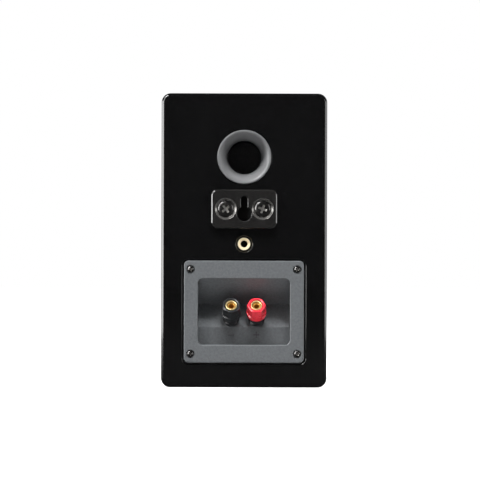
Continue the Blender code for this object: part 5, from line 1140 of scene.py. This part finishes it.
def make_floor(size, colour):
    """A wide plain floor, white to the camera, pale in the light it gives back, dark in reflections."""
    half = np.linspace(-size / 2, size / 2, 9)
    x, y = np.meshgrid(half, half)
    made = bpy.data.meshes.new("studio_floor")
    points, faces, _ = grid(np.stack([x, y, 0 * x - 0.0002], -1))
    made.from_pydata(points.tolist(), [], faces[:, ::-1].tolist())
    floor = bpy.data.objects.new("studio_floor", made)
    bpy.context.scene.collection.objects.link(floor)
    paint = bpy.data.materials.new("Studio floor")
    paint.use_nodes = True
    tree = paint.node_tree
    principled = tree.nodes["Principled BSDF"]
    path = tree.nodes.new("ShaderNodeLightPath").outputs
    principled.inputs["Roughness"].default_value = 0.9
    principled.inputs["Specular IOR Level"].default_value = 0.0
    base = put(tree, "ShaderNodeMix", (), {"data_type": "RGBA"})
    tree.links.new(path["Is Glossy Ray"], base.inputs[0])
    base.inputs[6].default_value = (*colour, 1)
    base.inputs[7].default_value = (0.03, 0.03, 0.03, 1)
    tree.links.new(base.outputs[2], principled.inputs["Base Color"])
    principled.inputs["Emission Color"].default_value = (1, 1, 1, 1)
    tree.links.new(path["Is Camera Ray"], principled.inputs["Emission Strength"])
    made.materials.append(paint)


def make_surroundings(dim):
    """White where the camera looks past the object, dim where surfaces reflect it."""
    world = bpy.data.worlds.new("Studio")
    world.use_nodes = True
    tree = world.node_tree
    seen = tree.nodes.new("ShaderNodeLightPath").outputs["Is Camera Ray"]
    soft = tree.nodes["Background"]
    soft.inputs[0].default_value = (dim, dim, dim * 1.02, 1)
    white = put(tree, "ShaderNodeBackground", ((1, 1, 1, 1),))
    both = put(tree, "ShaderNodeMixShader", (seen, soft.outputs[0], white.outputs[0]))
    tree.links.new(both.outputs[0], tree.nodes["World Output"].inputs[0])
    bpy.context.scene.world = world


def make_camera(distance, width, roll):
    """A long lens behind the object, level with its middle, that frames a given width."""
    data = bpy.data.cameras.new("Camera")
    data.sensor_width = 36
    data.lens = 36 * distance / width
    data.clip_end = 30
    made = bpy.data.objects.new("Camera", data)
    bpy.context.scene.collection.objects.link(made)
    made.location = (0.0031, REAR + distance, 0.1113)
    level = Euler((math.pi / 2, 0, math.pi)).to_matrix()
    made.rotation_euler = (level @ Matrix.Rotation(math.radians(roll), 3, "Z")).to_euler()
    bpy.context.scene.camera = made


# Sizes and colours that a user would change

def length(name, description, default):
    """A size in metres."""
    return FloatProperty(name=name, description=description, default=default, min=0.0, unit="LENGTH",
                         precision=5)


def colour(name, description, default):
    """A colour."""
    return FloatVectorProperty(name=name, description=description, default=default, subtype="COLOR", min=0.0,
                               max=1.0)


def number(name, description, default):
    """A plain number."""
    return FloatProperty(name=name, description=description, default=default)


class CabinetSettings(bpy.types.PropertyGroup):
    """The gloss shell and the baffle"""
    edge: length("Rear edge", "Radius where the sides turn into the back", 0.0022)
    chamfer: length("Front chamfer", "Width of the baffle's chamfer", 0.004)
    gloss: colour("Lacquer", "Colour under the clear coat", (0.0035, 0.0035, 0.0037))


class PortSettings(bpy.types.PropertyGroup):
    """The port's mouth"""
    roll: length("Lip roll", "Radius where the bell turns over into its lip", 0.0006)
    colour: colour("Port colour", "Colour of the port's moulding", (0.15, 0.152, 0.156))


class BracketSettings(bpy.types.PropertyGroup):
    """The keyhole plate and the insert"""
    edge: length("Plate edge", "Radius of the plate's edges", 0.0012)
    pitch: length("Thread pitch", "Pitch of the insert's thread", 0.00127)
    steel: colour("Plate colour", "Colour of the painted plate", (0.013, 0.0125, 0.012))
    brass: colour("Insert colour", "Colour of the insert's brass", (1.0, 0.84, 0.58))


class CupSettings(bpy.types.PropertyGroup):
    """The terminal cup"""
    edge: length("Plate edge", "Radius of the plate's outer edge", 0.0008)
    mouth: length("Mouth edge", "Radius of the recess's edge", 0.0007)
    colour: colour("Cup colour", "Colour of the cup's moulding", (0.125, 0.133, 0.140))


class PostSettings(bpy.types.PropertyGroup):
    """The binding posts' knobs"""
    flats: length("Across flats", "Size of the knobs across their flats", 0.0129)
    soften: length("Corner", "How far the knobs' corners are cut back", 0.00022)
    red: colour("Red", "Colour of the positive knob", (0.92, 0.035, 0.058))
    black: colour("Black", "Colour of the negative knob", (0.020, 0.021, 0.023))


class WooferSettings(bpy.types.PropertyGroup):
    """The woofer"""
    roll: length("Roll height", "Height of the surround's half roll", 0.004)
    ribs: IntProperty(name="Ribs", description="Shallow rings pressed into the cone", default=5, min=0,
                      max=12)
    cone: colour("Cone colour", "Colour of the coated cone", (0.030, 0.030, 0.033))


class TweeterSettings(bpy.types.PropertyGroup):
    """The tweeter"""
    dome: length("Dome height", "Height of the diaphragm", 0.0045)
    foil: colour("Dome colour", "Colour of the anodised dome", (0.72, 0.73, 0.75))
    plate: colour("Faceplate colour", "Colour of the faceplate", (0.020, 0.020, 0.021))


class GrilleSettings(bpy.types.PropertyGroup):
    """The grille's cloth"""
    pitch: length("Weave", "Distance between the cloth's threads", 0.0006)
    cloth: colour("Cloth colour", "Colour of the grille cloth", (0.010, 0.010, 0.011))


class InsideSettings(bpy.types.PropertyGroup):
    """The pieces inside the cabinet"""
    wadding: length("Wadding", "Thickness of the liner", 0.010)
    winding: length("Winding", "Distance between turns of copper wire", 0.0006)


class StageSettings(bpy.types.PropertyGroup):
    """Camera, lights and floor"""
    distance: length("Camera distance", "From the lens to the cabinet's back", 3.0)
    frame: length("Framed width", "Width that the picture spans at the back", 0.3622)
    roll: number("Camera roll", "Turn of the picture, in degrees", 0.18)
    key: number("Key power", "Watts of the main soft light", 142.0)
    side: number("Side power", "Watts of the side panels", 24.0)
    dim: number("Surroundings", "Brightness of what surfaces reflect", 0.03)
    floor: colour("Floor", "Colour of the light that the floor gives back", (0.42, 0.42, 0.42))


# One operator for each piece or group of like pieces, and one for the stage

class SPEAKER_OT_cabinet(bpy.types.Operator):
    """Build the gloss shell and the baffle"""
    bl_idname = "speaker.cabinet"
    bl_label = "Cabinet"

    def execute(self, context):
        settings = context.scene.speaker_cabinet
        make_shell(settings.edge, tuple(settings.gloss))
        make_baffle(settings.chamfer, tuple(settings.gloss))
        return {"FINISHED"}


class SPEAKER_OT_port(bpy.types.Operator):
    """Build the port's mouth and tube"""
    bl_idname = "speaker.port"
    bl_label = "Port"

    def execute(self, context):
        settings = context.scene.speaker_port
        make_port(settings.roll, tuple(settings.colour))
        return {"FINISHED"}


class SPEAKER_OT_bracket(bpy.types.Operator):
    """Build the keyhole bracket, its screws and the threaded insert"""
    bl_idname = "speaker.bracket"
    bl_label = "Bracket and insert"

    def execute(self, context):
        settings = context.scene.speaker_bracket
        make_bracket(settings.edge, tuple(settings.steel))
        make_insert(settings.pitch, tuple(settings.brass))
        return {"FINISHED"}


class SPEAKER_OT_cup(bpy.types.Operator):
    """Build the terminal cup, its marks and its screws"""
    bl_idname = "speaker.cup"
    bl_label = "Terminal cup"

    def execute(self, context):
        settings = context.scene.speaker_cup
        make_cup(settings.edge, settings.mouth, tuple(settings.colour))
        return {"FINISHED"}


class SPEAKER_OT_posts(bpy.types.Operator):
    """Build both binding posts"""
    bl_idname = "speaker.posts"
    bl_label = "Binding posts"

    def execute(self, context):
        settings = context.scene.speaker_posts
        make_posts(settings.flats, settings.soften, tuple(settings.red), tuple(settings.black))
        return {"FINISHED"}


class SPEAKER_OT_woofer(bpy.types.Operator):
    """Build the woofer"""
    bl_idname = "speaker.woofer"
    bl_label = "Woofer"

    def execute(self, context):
        settings = context.scene.speaker_woofer
        make_woofer(settings.roll, settings.ribs, tuple(settings.cone))
        return {"FINISHED"}


class SPEAKER_OT_tweeter(bpy.types.Operator):
    """Build the tweeter"""
    bl_idname = "speaker.tweeter"
    bl_label = "Tweeter"

    def execute(self, context):
        settings = context.scene.speaker_tweeter
        make_tweeter(settings.dome, tuple(settings.foil), tuple(settings.plate))
        return {"FINISHED"}


class SPEAKER_OT_grille(bpy.types.Operator):
    """Build the grille's frame and cloth"""
    bl_idname = "speaker.grille"
    bl_label = "Grille"

    def execute(self, context):
        settings = context.scene.speaker_grille
        make_grille(settings.pitch, tuple(settings.cloth))
        return {"FINISHED"}


class SPEAKER_OT_inside(bpy.types.Operator):
    """Build the wadding and finish the pieces inside the cabinet"""
    bl_idname = "speaker.inside"
    bl_label = "Inside"

    def execute(self, context):
        settings = context.scene.speaker_inside
        make_wadding(settings.wadding, 60)
        make_inside(settings.winding)
        return {"FINISHED"}


class SPEAKER_OT_stage(bpy.types.Operator):
    """Set the floor, the surroundings, the lights and the camera"""
    bl_idname = "speaker.stage"
    bl_label = "Stage"

    def execute(self, context):
        settings = context.scene.speaker_stage
        key, side = settings.key, settings.side
        make_floor(12, tuple(settings.floor))
        make_surroundings(settings.dim)
        emitter("Overhead bank", (0.45, 0.91, 2.2), (2.8, 0.2), key, gloss=False)
        emitter("Key", (1.0, 1.55, 1.75), (0.6, 0.6), key * 0.25, body=False)
        emitter("Corner light", (1.05, 1.05, 1.1), (0.5, 0.5), side * 0.35, body=False)
        emitter("Left strip", (1.15, 1.45, 0.25), (0.45, 1.3), side * 0.8, body=False)
        emitter("Right strip", (-1.15, 1.45, 0.25), (0.30, 1.3), side * 0.2, body=False)
        emitter("Left panel", (1.5, 0.3, 0.2), (1.9, 0.7), side * 1.3, body=False)
        emitter("Right panel", (-1.5, 0.3, 0.2), (1.7, 0.7), side * 0.5, body=False)
        emitter("Front fill", (-1.3, -2.0, 1.5), (1.2, 1.2), key * 0.3, gloss=False)
        make_camera(settings.distance, settings.frame, settings.roll)
        context.scene.view_settings.view_transform = "Standard"
        return {"FINISHED"}


class SPEAKER_PT_panel(bpy.types.Panel):
    """The speaker's operators and their settings"""
    bl_idname = "SPEAKER_PT_panel"
    bl_label = "Bookshelf Speaker"
    bl_space_type = "VIEW_3D"
    bl_region_type = "UI"
    bl_category = "Speaker"

    def draw(self, context):
        for name, operator in OPERATORS.items():
            box = self.layout.box()
            settings = getattr(context.scene, f"speaker_{name}")
            for field in settings.__annotations__:
                box.prop(settings, field)
            box.operator(operator.bl_idname)


SETTINGS = {
    "cabinet": CabinetSettings, "port": PortSettings, "bracket": BracketSettings, "cup": CupSettings,
    "posts": PostSettings, "woofer": WooferSettings, "tweeter": TweeterSettings, "grille": GrilleSettings,
    "inside": InsideSettings, "stage": StageSettings,
}
OPERATORS = {
    "cabinet": SPEAKER_OT_cabinet, "port": SPEAKER_OT_port, "bracket": SPEAKER_OT_bracket,
    "cup": SPEAKER_OT_cup, "posts": SPEAKER_OT_posts, "woofer": SPEAKER_OT_woofer,
    "tweeter": SPEAKER_OT_tweeter, "grille": SPEAKER_OT_grille, "inside": SPEAKER_OT_inside,
    "stage": SPEAKER_OT_stage,
}


def register():
    """Registers the settings, the operators and the panel."""
    for name, settings in SETTINGS.items():
        bpy.utils.register_class(settings)
        setattr(bpy.types.Scene, f"speaker_{name}", bpy.props.PointerProperty(type=settings))
    for operator in OPERATORS.values():
        bpy.utils.register_class(operator)
    bpy.utils.register_class(SPEAKER_PT_panel)


def unregister():
    """Undoes register."""
    bpy.utils.unregister_class(SPEAKER_PT_panel)
    for operator in OPERATORS.values():
        bpy.utils.unregister_class(operator)
    for name, settings in SETTINGS.items():
        delattr(bpy.types.Scene, f"speaker_{name}")
        bpy.utils.unregister_class(settings)


def main():
    """Builds every piece and the stage in order."""
    register()
    for name in OPERATORS:
        getattr(bpy.ops.speaker, name)()


if __name__ == "__main__":
    main()
